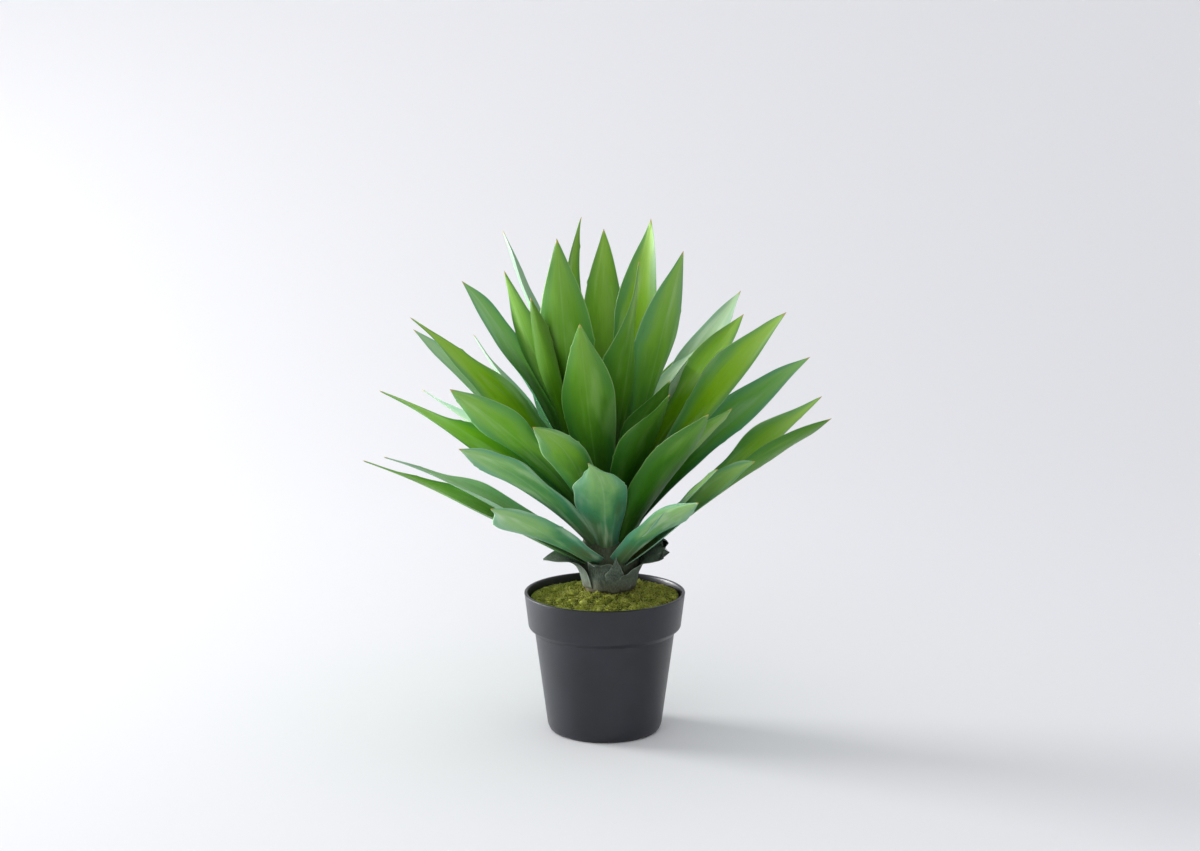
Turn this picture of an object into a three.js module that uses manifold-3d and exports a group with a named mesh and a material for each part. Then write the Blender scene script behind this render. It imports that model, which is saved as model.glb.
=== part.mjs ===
// A potted agave: a rosette of long lance-shaped leaves on a short thick stem with papery scales at
// its foot, standing in a plain nursery pot filled with growing medium and topped with moss.
// Millimetres and degrees, +Z up, -Y towards the viewer. The origin is the middle of the pot's foot.

import * as THREE from "three";
import { mergeVertices } from "three/addons/utils/BufferGeometryUtils.js";
import Module from "manifold-3d";

const wasm = await Module();
wasm.setup();

// ---------------------------------------------------------------------------------------------
// Driving dimensions
// ---------------------------------------------------------------------------------------------

const GAP = 0.3; // clearance between pieces that touch
const FULL_TURN = 360;

const POT = {
  height: 150,
  rimRadius: 85, // outside of the rim band at its top
  bandFootRadius: 80.6, // outside of the rim band at its lower edge
  bandFootHeight: 113,
  shoulderRadius: 74, // outside of the body just under the rim band
  shoulderHeight: 107,
  heelRadius: 60.6, // outside of the body where the rounded bottom edge starts
  heelHeight: 6.5,
  footRadius: 53, // where the rounded bottom edge meets the ground
  bottomEdge: [[57.4, 1.3], [59.8, 3.6]], // two more points of that rounded edge
  footInnerRadius: 49,
  padRadius: 22, // flat middle that the pot rests on
  grooveHeight: 3, // the drained groove between the pad and the foot ring
  floorHeight: 5.8,
  wall: 2.5,
  lipWidth: 3.5,
  lipEdge: [[0, -1.4], [-0.5, -0.4], [-1.5, 0]], // rounded outer edge, from the rim's corner
  lipInset: 1, // size of the slope on the lip's inner edge
  holeRadius: 5,
  holeCircleRadius: 36,
  holeCount: 6,
  notchCount: 4,
  notchWidth: 12,
  notchHeight: 1.6,
  segments: 48,
};

const SOIL = {
  top: 134,
  sideClearance: 0.45, // between the growing medium and the pot's wall
};

const MOSS = {
  radius: 78, // just inside the rim band
  edgeDrop: 5.2, // how far the edge lies under the rim, on average
  edgeTilt: 2.2, // the edge is lower by this at the back left and higher at the front right
  lowSide: 130, // direction of the low side
  mound: 9, // rise from the edge to the stem
  moundCurve: 1.3, // the higher, the sharper the mound's top
  lump: 1.3, // height of the large lumps
  footShare: 0.985, // the underside is narrower than the edge by this
  rings: 7,
  segments: 40,
};

const STEM = {
  centre: [5, 6], // the stem stands a little behind and to the right of the pot's middle
  // [height, radius] up the stem, from its root plug to its tip inside the crown
  profile: [
    [60, 20],
    [75, 22],
    [150, 25],
    [164, 27.5],
    [180, 31],
    [190, 31],
    [205, 28],
    [222, 24],
    [240, 19],
    [258, 14],
    [275, 10],
    [300, 6],
  ],
  cap: 3, // rise of the blunt cone on its top
  segments: 24,
};

const LEAF = {
  rootDepth: 4, // how deep a leaf's centre line starts inside the stem
  handle: 0.33, // length of the curve's handles, as a share of the straight root-to-tip distance
  widest: 0.62, // where along its length a leaf is widest
  neck: 0.42, // width at the root, as a share of the full width
  crownNeck: 0.34,
  cup: [0.45, 0.2], // depth of the channel over half the width, at the root and at the tip
  thickness: [2.4, 1.2], // at the middle line, at the root and at the tip
  blunt: 1.4, // the higher, the squarer the tip
  thinning: 0.75, // loss of thickness, times the square of the way out to the margin
  stations: [0, 0.12, 0.26, 0.4, 0.54, 0.68, 0.8, 0.91],
};

const MARGIN_STATIONS = [0.25, 0.5, 0.75, 0.95]; // where a leaf's left and right widths are given
const EVEN = [1, 1, 1, 1];
const MARGIN_ROOM = 5; // clearance at a leaf's margins, as a multiple of that on its faces

// Each leaf: turn = compass direction of its root round the stem, level = height of the root,
// tip = where its point is, lift = steepness as it leaves the stem, head and end = direction and
// steepness at the tip, width = full width, roll = twist about its own length at root and tip.
// left and right = width of that half at the four margin stations, as a share of the even rule's.
const CROWN = [
  { turn: 188, level: 292, tip: [-24, 0, 548], lift: 70, head: 182, end: 108, width: 34, roll: [-20, -30] },
  {
    turn: 92, level: 280, tip: [-1, 75, 526], lift: 82, head: 88, end: 74, width: 48, roll: [0, 0],
    left: [1, 0.9, 0.85, 1],
  },
  {
    turn: 72, level: 266, tip: [48, 25, 543], lift: 82, head: 42, end: 84, width: 54, roll: [10, 12],
    left: [0.8, 0.8, 0.9, 1], right: [0.8, 0.7, 0.95, 1],
  },
  {
    turn: 218, level: 258, tip: [-48, -110, 540], lift: 61, head: 250, end: 76, width: 57, roll: [15, 12],
    left: [1.5, 1.4, 1.05, 1],
  },
  {
    turn: 282, level: 272, tip: [34, -95, 516], lift: 62, head: 284, end: 76, width: 48, roll: [0, 65],
    left: [1.1, 1.35, 1.2, 1], right: [1, 0.8, 0.2, 0.3],
  },
  {
    turn: 334, level: 258, tip: [80, -40, 518], lift: 70, head: 326, end: 72, width: 58, roll: [-10, -15],
    right: [1, 1.15, 1.2, 1.1],
  },
  {
    turn: 142, level: 260, tip: [-108, 85, 523], lift: 65, head: 144, end: 69, width: 48, roll: [26, 34],
    left: [0.5, 0.3, 1.2, 2], right: [0.8, 0.8, 1.2, 1.5],
  },
  {
    turn: 202, level: 266, tip: [-103, -34, 497], lift: 59, head: 197, end: 73, width: 48, roll: [15, 30],
    left: [1.3, 1.3, 1.1, 1],
  },
  {
    turn: 218, level: 246, tip: [-75, -82, 477], lift: 58, head: 225, end: 73, width: 50, roll: [0, 0],
    right: [0.6, 0.5, 0.6, 1],
  },
  { turn: 34, level: 258, tip: [96, 60, 398], lift: 76, head: 28, end: 42, width: 48, roll: [-15, -15] },
];

const UPPER = [
  {
    turn: 252, level: 240, tip: [-25, -145, 460], lift: 57, head: 262, end: 58, width: 54, roll: [0, 0],
    left: [1.3, 1.15, 0.92, 0.95],
  },
  {
    turn: 182, level: 240, tip: [-148, -5, 482], lift: 64, head: 192, end: 50, width: 56, roll: [-20, -50],
    left: [0.9, 0.7, 0.65, 0.9], right: [0.6, 0.55, 0.9, 1.1],
  },
  {
    turn: 40, level: 238, tip: [146, 100, 456], lift: 62, head: 36, end: 48, width: 50, roll: [-10, 5],
    left: [1, 1.2, 1.35, 1.2], right: [1, 0.9, 1, 1],
  },
  {
    turn: 6, level: 246, tip: [146, 35, 441], lift: 60, head: 8, end: 54, width: 54, roll: [15, 35],
    right: [0.6, 0.65, 1, 1],
  },
  { turn: 304, level: 244, tip: [66, -80, 391], lift: 68, head: 305, end: 50, width: 44, roll: [0, 0] },
  { turn: 78, level: 234, tip: [40, 130, 448], lift: 58, head: 74, end: 60, width: 48, roll: [0, 0] },
  { turn: 110, level: 246, tip: [-40, 125, 450], lift: 66, head: 108, end: 56, width: 46, roll: [0, 0] },
];

const MIDDLE = [
  {
    turn: 332, level: 226, tip: [183, -80, 461], lift: 54, head: 336, end: 46, width: 60, roll: [25, 58],
    right: [1, 0.9, 1.1, 1.1],
  },
  {
    turn: 206, level: 228, tip: [-197, -80, 456], lift: 57, head: 203, end: 38, width: 56, roll: [-50, -42],
    left: [1, 0.9, 0.5, 0.2], right: [1.3, 1.9, 1, 0.15],
  },
  {
    turn: 172, level: 226, tip: [-202, 40, 424], lift: 50, head: 171, end: 40, width: 50, roll: [-10, -20],
    right: [1, 0.8, 0.9, 1],
  },
  { turn: 138, level: 232, tip: [-143, 140, 402], lift: 42, head: 138, end: 48, width: 48, roll: [32, 30] },
  {
    turn: 228, level: 220, tip: [-153, -160, 397], lift: 52, head: 232, end: 30, width: 58, roll: [20, 35],
    left: [0.8, 0.75, 1, 1.05], right: [0.6, 0.5, 0.9, 1.05],
  },
  { turn: 287, level: 224, tip: [64, -165, 393], lift: 56, head: 292, end: 38, width: 52, roll: [10, 25] },
  { turn: 313, level: 220, tip: [126, -150, 376], lift: 50, head: 308, end: 38, width: 52, roll: [0, 0] },
  {
    turn: 354, level: 216, tip: [213, -10, 403], lift: 54, head: 358, end: 34, width: 56, roll: [35, 40],
    right: [0.75, 0.75, 0.75, 0.9],
  },
  {
    turn: 247, level: 212, tip: [-71, -190, 365], lift: 54, head: 235, end: 22, width: 44, roll: [10, 35],
    left: [1, 1.1, 1.2, 1.4], right: [0.8, 0.75, 0.85, 1],
  },
  { turn: 92, level: 226, tip: [8, 190, 410], lift: 56, head: 90, end: 46, width: 52, roll: [0, 0] },
  { turn: 58, level: 224, tip: [95, 170, 380], lift: 56, head: 58, end: 34, width: 52, roll: [0, 0] },
  { turn: 118, level: 220, tip: [-85, 180, 380], lift: 46, head: 118, end: 40, width: 52, roll: [0, 0] },
];

const LOWER = [
  { turn: 300, level: 206, tip: [101, -200, 380], lift: 48, head: 298, end: 38, width: 56, roll: [0, 0] },
  {
    turn: 194, level: 209, tip: [-231, -60, 377], lift: 48, head: 196, end: 27, width: 56, roll: [-45, -20],
    left: [1, 0.95, 0.5, 0.35], right: [1, 1, 0.8, 0.5],
  },
  { turn: 146, level: 208, tip: [-200, 140, 341], lift: 38, head: 148, end: 24, width: 48, roll: [30, 30] },
  {
    turn: 264, level: 200, tip: [-17, -200, 331], lift: 50, head: 250, end: 26, width: 56, roll: [0, 10],
    left: [1.6, 1.2, 0.65, 0.4], right: [1, 0.85, 0.6, 0.2], blunt: 2,
  },
  {
    turn: 228, level: 203, tip: [-144, -180, 341], lift: 45, head: 232, end: 20, width: 54, roll: [15, 35],
    right: [0.7, 0.5, 0.6, 0.9],
  },
  {
    turn: 10, level: 192, tip: [229, 30, 354], lift: 34, head: 6, end: 40, width: 48, roll: [30, 20],
    left: [1, 0.8, 0.8, 0.9], right: [0.5, 0.7, 1.3, 1.4],
  },
  {
    turn: 344, level: 189, tip: [233, -50, 346], lift: 40, head: 346, end: 30, width: 48, roll: [-40, -35],
    left: [0.5, 0.5, 0.8, 1], right: [0.2, 0.3, 1, 1.5],
  },
  { turn: 42, level: 208, tip: [174, 170, 313], lift: 38, head: 44, end: 14, width: 44, roll: [0, 0] },
  {
    turn: 240, level: 184, tip: [-113, -190, 283], lift: 26, head: 238, end: 20, width: 50, roll: [10, 35],
    left: [1, 1.2, 1.5, 0.9], right: [0.8, 0.6, 0.7, 0.9],
  },
  {
    turn: 290, level: 184, tip: [92, -190, 289], lift: 36, head: 294, end: 18, width: 50, roll: [-10, -25],
    left: [0.7, 0.5, 0.45, 0.6], right: [1, 1.1, 0.9, 0.8],
  },
  {
    turn: 306, level: 190, tip: [111, -180, 321], lift: 34, head: 298, end: 34, width: 48, roll: [30, 40],
    left: [1, 1.1, 1.2, 1.2], right: [0.6, 0.6, 0.6, 0.9],
  },
  {
    turn: 320, level: 186, tip: [150, -140, 320], lift: 35, head: 316, end: 27, width: 52, roll: [45, 48],
    left: [1, 1.1, 1.1, 1.1], right: [0.5, 0.6, 0.7, 1],
  },
  {
    turn: 188, level: 181, tip: [-249, -60, 304], lift: 28, head: 196, end: 22, width: 54, roll: [-20, 0],
    left: [1, 1, 0.5, 0.4], right: [1, 1, 0.5, 0.4],
  },
  {
    turn: 206, level: 186, tip: [-225, -90, 314], lift: 33, head: 204, end: 20, width: 54, roll: [-30, 0],
    left: [1, 1, 0.5, 0.4], right: [1, 1, 0.5, 0.4],
  },
  { turn: 74, level: 212, tip: [55, 225, 352], lift: 50, head: 76, end: 24, width: 52, roll: [0, 0] },
  { turn: 56, level: 196, tip: [110, 205, 300], lift: 40, head: 58, end: 14, width: 50, roll: [0, 0] },
  { turn: 128, level: 192, tip: [-115, 195, 296], lift: 40, head: 126, end: 14, width: 50, roll: [0, 0] },
  { turn: 96, level: 196, tip: [-20, 245, 300], lift: 40, head: 96, end: 12, width: 52, roll: [0, 0] },
];

// The scales at the stem's foot hug the stem and curl outwards at their tips. They follow the same
// rule as the leaves, but start on the outside of the stem.
const SCALE = {
  ...LEAF,
  rootDepth: -1.4,
  handle: 0.55,
  widest: 0.45,
  neck: 0.8,
  cup: [0.3, 0.12],
  thickness: [2.4, 1.4],
};

const SCALES = [
  {
    turn: 280, level: 153, tip: [12, -39, 197], lift: 76, head: 278, end: 68, width: 20, roll: [0, 0],
    blunt: 1.1,
  },
  {
    turn: 310, level: 155, tip: [40, -26, 187], lift: 74, head: 330, end: 50, width: 26, roll: [0, 0],
    blunt: 1.1,
  },
  {
    turn: 250, level: 155, tip: [-9, -43, 186], lift: 78, head: 250, end: -8, width: 30, roll: [0, 0],
    blunt: 3,
  },
  {
    turn: 190, level: 156, tip: [-67, -8, 186], lift: 80, head: 184, end: -8, width: 46, roll: [0, -6],
    blunt: 2.6,
  },
  {
    turn: 356, level: 156, tip: [72, -6, 198], lift: 80, head: 352, end: 8, width: 48, roll: [0, 28],
    blunt: 7,
  },
  {
    turn: 54, level: 156, tip: [44, 50, 184], lift: 78, head: 54, end: 6, width: 44, roll: [0, 0],
    blunt: 2,
  },
  {
    turn: 122, level: 156, tip: [-26, 56, 182], lift: 78, head: 122, end: 4, width: 46, roll: [0, 0],
    blunt: 2,
  },
];

// ---------------------------------------------------------------------------------------------
// Finishes
// ---------------------------------------------------------------------------------------------

const potPlastic = new THREE.MeshStandardMaterial({ color: 0x3c3d40, roughness: 0.62, metalness: 0 });
const growingMedium = new THREE.MeshStandardMaterial({ color: 0x33261b, roughness: 0.95, metalness: 0 });
const mossFibre = new THREE.MeshStandardMaterial({ color: 0x7f8440, roughness: 0.95, metalness: 0 });
const stemBark = new THREE.MeshStandardMaterial({ color: 0x515a4a, roughness: 0.85, metalness: 0 });
const scaleBark = new THREE.MeshStandardMaterial({ color: 0x55605a, roughness: 0.8, metalness: 0 });
const leafGreens = {
  crown: new THREE.MeshStandardMaterial({ color: 0x76a03c, roughness: 0.45, metalness: 0 }),
  upper: new THREE.MeshStandardMaterial({ color: 0x6b9a44, roughness: 0.45, metalness: 0 }),
  middle: new THREE.MeshStandardMaterial({ color: 0x5f9146, roughness: 0.48, metalness: 0 }),
  lower: new THREE.MeshStandardMaterial({ color: 0x659a55, roughness: 0.5, metalness: 0 }),
};

// ---------------------------------------------------------------------------------------------
// Small helpers
// ---------------------------------------------------------------------------------------------

const radians = THREE.MathUtils.degToRad;
const lerp = THREE.MathUtils.lerp;
const UP = new THREE.Vector3(0, 0, 1);

// A closed mesh becomes a solid: equal vertices are merged and triangles with no area dropped.
function solidFrom(geometry) {
  geometry.deleteAttribute("normal");
  geometry.deleteAttribute("uv");
  const merged = mergeVertices(geometry, 1e-4);
  const index = merged.index.array;
  const triangles = [];
  for (let i = 0; i < index.length; i += 3) {
    const [a, b, c] = [index[i], index[i + 1], index[i + 2]];
    if (a !== b && b !== c && c !== a) triangles.push(a, b, c);
  }
  const vertProperties = new Float32Array(merged.attributes.position.array);
  const triVerts = new Uint32Array(triangles);
  return new wasm.Manifold(new wasm.Mesh({ numProp: 3, vertProperties, triVerts }));
}

function geometryFrom(solid) {
  const mesh = solid.getMesh();
  const geometry = new THREE.BufferGeometry();
  geometry.setAttribute("position", new THREE.BufferAttribute(mesh.vertProperties, 3));
  geometry.setIndex(new THREE.BufferAttribute(mesh.triVerts, 1));
  geometry.computeVertexNormals();
  return geometry;
}

function meshOf(name, solid, material) {
  const mesh = new THREE.Mesh(geometryFrom(solid), material);
  mesh.name = name;
  return mesh;
}

// A profile of [radius, height] points turned about the vertical through [x, y].
function turned(profile, segments, [x, y] = [0, 0]) {
  const points = profile.map(([radius, height]) => new THREE.Vector2(radius, height));
  const geometry = new THREE.LatheGeometry(points, segments);
  geometry.rotateX(Math.PI / 2);
  geometry.translate(x, y, 0);
  return solidFrom(geometry);
}

// The unit vector that points in a compass direction at a steepness.
function pointing(compass, steepness) {
  const flat = Math.cos(radians(steepness));
  const x = flat * Math.cos(radians(compass));
  const y = flat * Math.sin(radians(compass));
  return new THREE.Vector3(x, y, Math.sin(radians(steepness)));
}

// Straight lines between [position, value] points.
function readOff(points, position) {
  for (let i = 1; i < points.length; i += 1) {
    const [start, from] = points[i - 1];
    const [stop, to] = points[i];
    if (position <= stop) return lerp(from, to, (position - start) / (stop - start));
  }
  return points.at(-1)[1];
}

function largestPart(solid) {
  const parts = solid.decompose();
  return parts.reduce((largest, part) => (part.volume() > largest.volume() ? part : largest));
}

// The solid without the room that each of the others needs.
function trimmed(solid, rooms) {
  let rest = solid;
  for (const room of rooms) {
    if (!rest.intersect(room).isEmpty()) rest = rest.subtract(room);
  }
  return largestPart(rest);
}

// ---------------------------------------------------------------------------------------------
// Pot, growing medium and moss
// ---------------------------------------------------------------------------------------------

function potWallProfile() {
  const lipEdge = POT.lipEdge.map(([out, up]) => [POT.rimRadius + out, POT.height + up]);
  return [
    [0, 0],
    [POT.padRadius, 0],
    [POT.padRadius + POT.grooveHeight, POT.grooveHeight],
    [POT.footInnerRadius - POT.grooveHeight, POT.grooveHeight],
    [POT.footInnerRadius, 0],
    [POT.footRadius, 0],
    ...POT.bottomEdge,
    [POT.heelRadius, POT.heelHeight],
    [POT.shoulderRadius, POT.shoulderHeight],
    [POT.bandFootRadius, POT.bandFootHeight],
    ...lipEdge,
    [POT.rimRadius - POT.lipWidth + POT.lipInset, POT.height],
    [POT.rimRadius - POT.lipWidth, POT.height - POT.lipInset],
    [POT.bandFootRadius - POT.wall, POT.bandFootHeight + POT.wall / 2],
    [POT.shoulderRadius - POT.wall, POT.shoulderHeight + POT.wall / 2],
    [POT.heelRadius - POT.wall, POT.floorHeight + POT.wall],
    [POT.heelRadius - 2 * POT.wall, POT.floorHeight],
    [0, POT.floorHeight],
  ];
}

function makePot() {
  let pot = turned(potWallProfile(), POT.segments);
  for (let i = 0; i < POT.holeCount; i += 1) {
    const direction = pointing((i * FULL_TURN) / POT.holeCount, 0);
    const drill = new THREE.CylinderGeometry(POT.holeRadius, POT.holeRadius, 4 * POT.floorHeight, 16);
    drill.rotateX(Math.PI / 2);
    drill.translate(direction.x * POT.holeCircleRadius, direction.y * POT.holeCircleRadius, 0);
    pot = pot.subtract(solidFrom(drill));
  }
  for (let i = 0; i < POT.notchCount; i += 1) {
    const slot = new THREE.BoxGeometry(POT.heelRadius, POT.notchWidth, 2 * POT.notchHeight);
    slot.translate(POT.footInnerRadius - POT.grooveHeight + POT.heelRadius / 2, 0, 0);
    slot.rotateZ(radians(((i + 0.5) * FULL_TURN) / POT.notchCount));
    pot = pot.subtract(solidFrom(slot));
  }
  return pot;
}

// Inside radius of the pot at a height above its floor.
function potInsideRadius(height) {
  const inside = [
    [POT.floorHeight, POT.heelRadius - 2 * POT.wall],
    [POT.floorHeight + POT.wall, POT.heelRadius - POT.wall],
    [POT.shoulderHeight + POT.wall / 2, POT.shoulderRadius - POT.wall],
    [POT.bandFootHeight + POT.wall / 2, POT.bandFootRadius - POT.wall],
    [POT.height - POT.lipInset, POT.rimRadius - POT.lipWidth],
  ];
  return readOff(inside, height);
}

function makeSoil(stemRoom) {
  const floor = POT.floorHeight + GAP;
  const bends = [floor, POT.floorHeight + POT.wall, POT.shoulderHeight + POT.wall / 2];
  bends.push(POT.bandFootHeight + POT.wall / 2, SOIL.top);
  const wall = bends.map((height) => [potInsideRadius(height) - SOIL.sideClearance, height]);
  const soil = turned([[0, floor], ...wall, [0, SOIL.top]], POT.segments);
  return soil.subtract(stemRoom);
}

// Height of the moss at a distance from the stem and a compass direction: a soft mound that is
// lowest at the back left, with two shallow waves for the large lumps.
function mossHeight(share, compass) {
  const edge = POT.height - MOSS.edgeDrop - MOSS.edgeTilt * Math.cos(radians(compass - MOSS.lowSide));
  const mound = MOSS.mound * (1 - share) ** MOSS.moundCurve;
  const wide = Math.sin(radians(3 * compass) + 4 * share);
  const narrow = Math.sin(radians(5 * compass + 40) - 7 * share);
  const fade = 1 - share / 2;
  return edge + mound + (MOSS.lump * fade * (wide + narrow)) / 2;
}

function makeMoss(stemRoom) {
  const rows = [];
  for (let ring = 1; ring <= MOSS.rings; ring += 1) {
    const share = ring / MOSS.rings;
    const row = [];
    for (let k = 0; k < MOSS.segments; k += 1) {
      const compass = (k * FULL_TURN) / MOSS.segments;
      const out = pointing(compass, 0).multiplyScalar(share * MOSS.radius);
      row.push([out.x, out.y, mossHeight(share, compass)]);
    }
    rows.push(row);
  }
  const underside = SOIL.top + GAP;
  const foot = rows.at(-1).map(([x, y]) => [x * MOSS.footShare, y * MOSS.footShare, underside]);
  rows.push(foot);
  const top = [0, 0, mossHeight(0, 0)];
  const bottom = [0, 0, underside];
  return solidFrom(closedRows(rows, top, bottom)).subtract(stemRoom);
}

// Rows of points that each close on themselves, with a single point before the first and after
// the last, joined into one closed surface.
function closedRows(rows, first, last) {
  const count = rows[0].length;
  const positions = [first, ...rows.flat(), last].flat();
  const index = [];
  const at = (row, k) => 1 + row * count + (k % count);
  const end = positions.length / 3 - 1;
  for (let k = 0; k < count; k += 1) {
    index.push(0, at(0, k), at(0, k + 1));
    index.push(end, at(rows.length - 1, k + 1), at(rows.length - 1, k));
    for (let row = 1; row < rows.length; row += 1) {
      index.push(at(row - 1, k), at(row, k), at(row, k + 1));
      index.push(at(row - 1, k), at(row, k + 1), at(row - 1, k + 1));
    }
  }
  const geometry = new THREE.BufferGeometry();
  geometry.setAttribute("position", new THREE.Float32BufferAttribute(positions, 3));
  geometry.setIndex(index);
  return geometry;
}

// ---------------------------------------------------------------------------------------------
// Stem, leaves and scales
// ---------------------------------------------------------------------------------------------

// The stem as a turned solid, or, with room, the space that it and its clearance take.
function makeStem(room = 0) {
  const wall = STEM.profile.map(([height, radius]) => [radius + room, height]);
  const foot = [0, STEM.profile[0][0] - room];
  const top = [0, STEM.profile.at(-1)[0] + STEM.cap + room];
  return turned([foot, ...wall, top], STEM.segments, STEM.centre);
}

// A soft step from 0 at low to 1 at high.
function softStep(value, low, high) {
  return THREE.MathUtils.smoothstep(value, low, high);
}

// Width along a leaf as a share of its full width: it swells smoothly from the neck to the widest
// point and then draws in to a point.
function widthShare(along, { widest, neck }, blunt) {
  if (along < widest) return neck + (1 - neck) * softStep(along, 0, widest) ** 0.75;
  return 1 - ((along - widest) / (1 - widest)) ** blunt;
}

// The share of one margin's width, which starts at 1 and eases from station to station.
function marginShare(values, along) {
  let share = 1;
  values.forEach((value, i) => {
    const before = i > 0 ? values[i - 1] : 1;
    const start = i > 0 ? MARGIN_STATIONS[i - 1] : 0;
    share += (value - before) * softStep(along, start, MARGIN_STATIONS[i]);
  });
  return share;
}

// A leaf's centre line: a cubic curve from inside the stem to the tip.
function centreLine(leaf, form) {
  const radius = readOff(STEM.profile, leaf.level) - form.rootDepth;
  const root = pointing(leaf.turn, 0).multiplyScalar(radius);
  root.add(new THREE.Vector3(...STEM.centre, leaf.level));
  const tip = new THREE.Vector3(...leaf.tip);
  const reach = form.handle * root.distanceTo(tip);
  const leaving = pointing(leaf.turn, leaf.lift).multiplyScalar(reach).add(root);
  const arriving = pointing(leaf.head, leaf.end).multiplyScalar(-reach).add(tip);
  return new THREE.CubicBezierCurve3(root, leaving, arriving, tip);
}

// The directions across a leaf and out of its upper face. The crosswise direction turns evenly
// from the root's to the tip's, and the roll twists it about the leaf's length.
function bladeDirections(leaf, curve, along) {
  const forward = curve.getTangent(along);
  const rootSide = UP.clone().cross(pointing(leaf.turn, 0));
  const tipSide = UP.clone().cross(pointing(leaf.head, 0));
  const side = rootSide.lerp(tipSide, along);
  side.addScaledVector(forward, -side.dot(forward)).normalize();
  const blend = along ** 2 * (3 - 2 * along);
  side.applyAxisAngle(forward, radians(lerp(leaf.roll[0], leaf.roll[1], blend)));
  return { side, face: forward.clone().cross(side) };
}

// One ring of eight points round a leaf: two sharp margins, and three points on each face.
function ringAround(leaf, form, curve, along, room) {
  const centre = curve.getPoint(along);
  const { side, face } = bladeDirections(leaf, curve, along);
  const even = (leaf.width / 2) * widthShare(along, form, leaf.blunt ?? form.blunt);
  const cup = lerp(form.cup[0], form.cup[1], along);
  const thick = lerp(form.thickness[0], form.thickness[1], along) / 2 + room;
  const place = (across, above) => {
    const values = (across > 0 ? leaf.right : leaf.left) ?? EVEN;
    const half = even * lerp(1, marginShare(values, along), Math.abs(across));
    const reach = across * (half + MARGIN_ROOM * room);
    const rise = cup * reach ** 2 / half + above * thick * (1 - form.thinning * across ** 2);
    return centre.clone().addScaledVector(side, reach).addScaledVector(face, rise).toArray();
  };
  const upper = [0.5, 0, -0.5].map((across) => place(across, 1));
  const lower = [-0.5, 0, 0.5].map((across) => place(across, -1));
  return [place(1, 0), ...upper, place(-1, 0), ...lower];
}

// A leaf as a closed solid, or, with room, the space that it and its clearance take.
function makeLeaf(leaf, form, room = 0) {
  const curve = centreLine(leaf, form);
  const rings = LEAF.stations.map((along) => ringAround(leaf, form, curve, along, room));
  const tip = curve.getPoint(1).toArray();
  return solidFrom(closedRows(rings.reverse(), tip, curve.getPoint(0).toArray()));
}

// ---------------------------------------------------------------------------------------------
// Assembly
// ---------------------------------------------------------------------------------------------

const agave = new THREE.Group();
const stemRoom = makeStem(GAP);

agave.add(meshOf("pot", makePot(), potPlastic));
agave.add(meshOf("soil", makeSoil(stemRoom), growingMedium));
agave.add(meshOf("moss", makeMoss(stemRoom), mossFibre));
agave.add(meshOf("stem", makeStem(), stemBark));

// Leaves are added from the crown down and the scales last. Where two crowd each other at the
// stem, the later one is trimmed to lie against the earlier.
const rooms = [stemRoom];

function addTier(name, tier, form, material) {
  const group = new THREE.Group();
  tier.forEach((leaf, i) => {
    const solid = trimmed(makeLeaf(leaf, form), rooms);
    rooms.push(makeLeaf(leaf, form, GAP).add(solid));
    group.add(meshOf(`${name}_${i + 1}`, solid, material));
  });
  agave.add(group);
}

addTier("leaf_crown", CROWN, { ...LEAF, neck: LEAF.crownNeck }, leafGreens.crown);
addTier("leaf_upper", UPPER, LEAF, leafGreens.upper);
addTier("leaf_middle", MIDDLE, LEAF, leafGreens.middle);
addTier("leaf_lower", LOWER, LEAF, leafGreens.lower);
addTier("scale", SCALES, SCALE, scaleBark);

export default agave;
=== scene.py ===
"""Looks of a potted agave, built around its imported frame.

The tables give lengths in millimetres and angles in degrees, as a gardener's sketch would, and every
mesh is made in metres. +Z is up, -Y is towards the viewer and the origin is the middle of the pot's
foot. A leaf is a surface of two parameters: `along` runs from its root, 0, to its tip, 1, and
`across` runs from its left margin, -1, to its right margin, +1.
"""

import logging
import math
from dataclasses import dataclass
from enum import Enum

import bpy
import numpy as np
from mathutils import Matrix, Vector


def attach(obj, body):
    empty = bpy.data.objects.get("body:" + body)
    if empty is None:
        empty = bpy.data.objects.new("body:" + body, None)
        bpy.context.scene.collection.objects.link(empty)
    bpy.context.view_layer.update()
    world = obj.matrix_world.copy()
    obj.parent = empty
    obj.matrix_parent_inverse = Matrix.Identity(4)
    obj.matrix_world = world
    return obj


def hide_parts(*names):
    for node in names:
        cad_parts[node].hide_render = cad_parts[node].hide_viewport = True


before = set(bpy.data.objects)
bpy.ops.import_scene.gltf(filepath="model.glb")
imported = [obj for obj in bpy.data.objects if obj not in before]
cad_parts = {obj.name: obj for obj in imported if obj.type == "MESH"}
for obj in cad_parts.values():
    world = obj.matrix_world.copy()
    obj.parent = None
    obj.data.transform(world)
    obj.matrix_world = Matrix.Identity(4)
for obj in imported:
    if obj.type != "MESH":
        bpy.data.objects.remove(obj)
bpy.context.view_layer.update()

LOG = logging.getLogger("agave")
MM = 0.001
BODY = "root"
UP = np.array([0.0, 0.0, 1.0])
STEM_CENTRE = (5.0, 6.0)
STATIONS = (0.25, 0.5, 0.75, 0.95)  # where along a blade the widths of its halves are given
NO_TRIANGLES = np.empty((0, 3), int)
Array = np.ndarray
Material = bpy.types.Material
Piece = bpy.types.Object
Socket = bpy.types.NodeSocket
Pair = tuple[float, float]
Point = tuple[float, float, float]
Colour = tuple[float, float, float]
Stations = tuple[float, float, float, float]


# --- Numbers and curves ---


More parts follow.
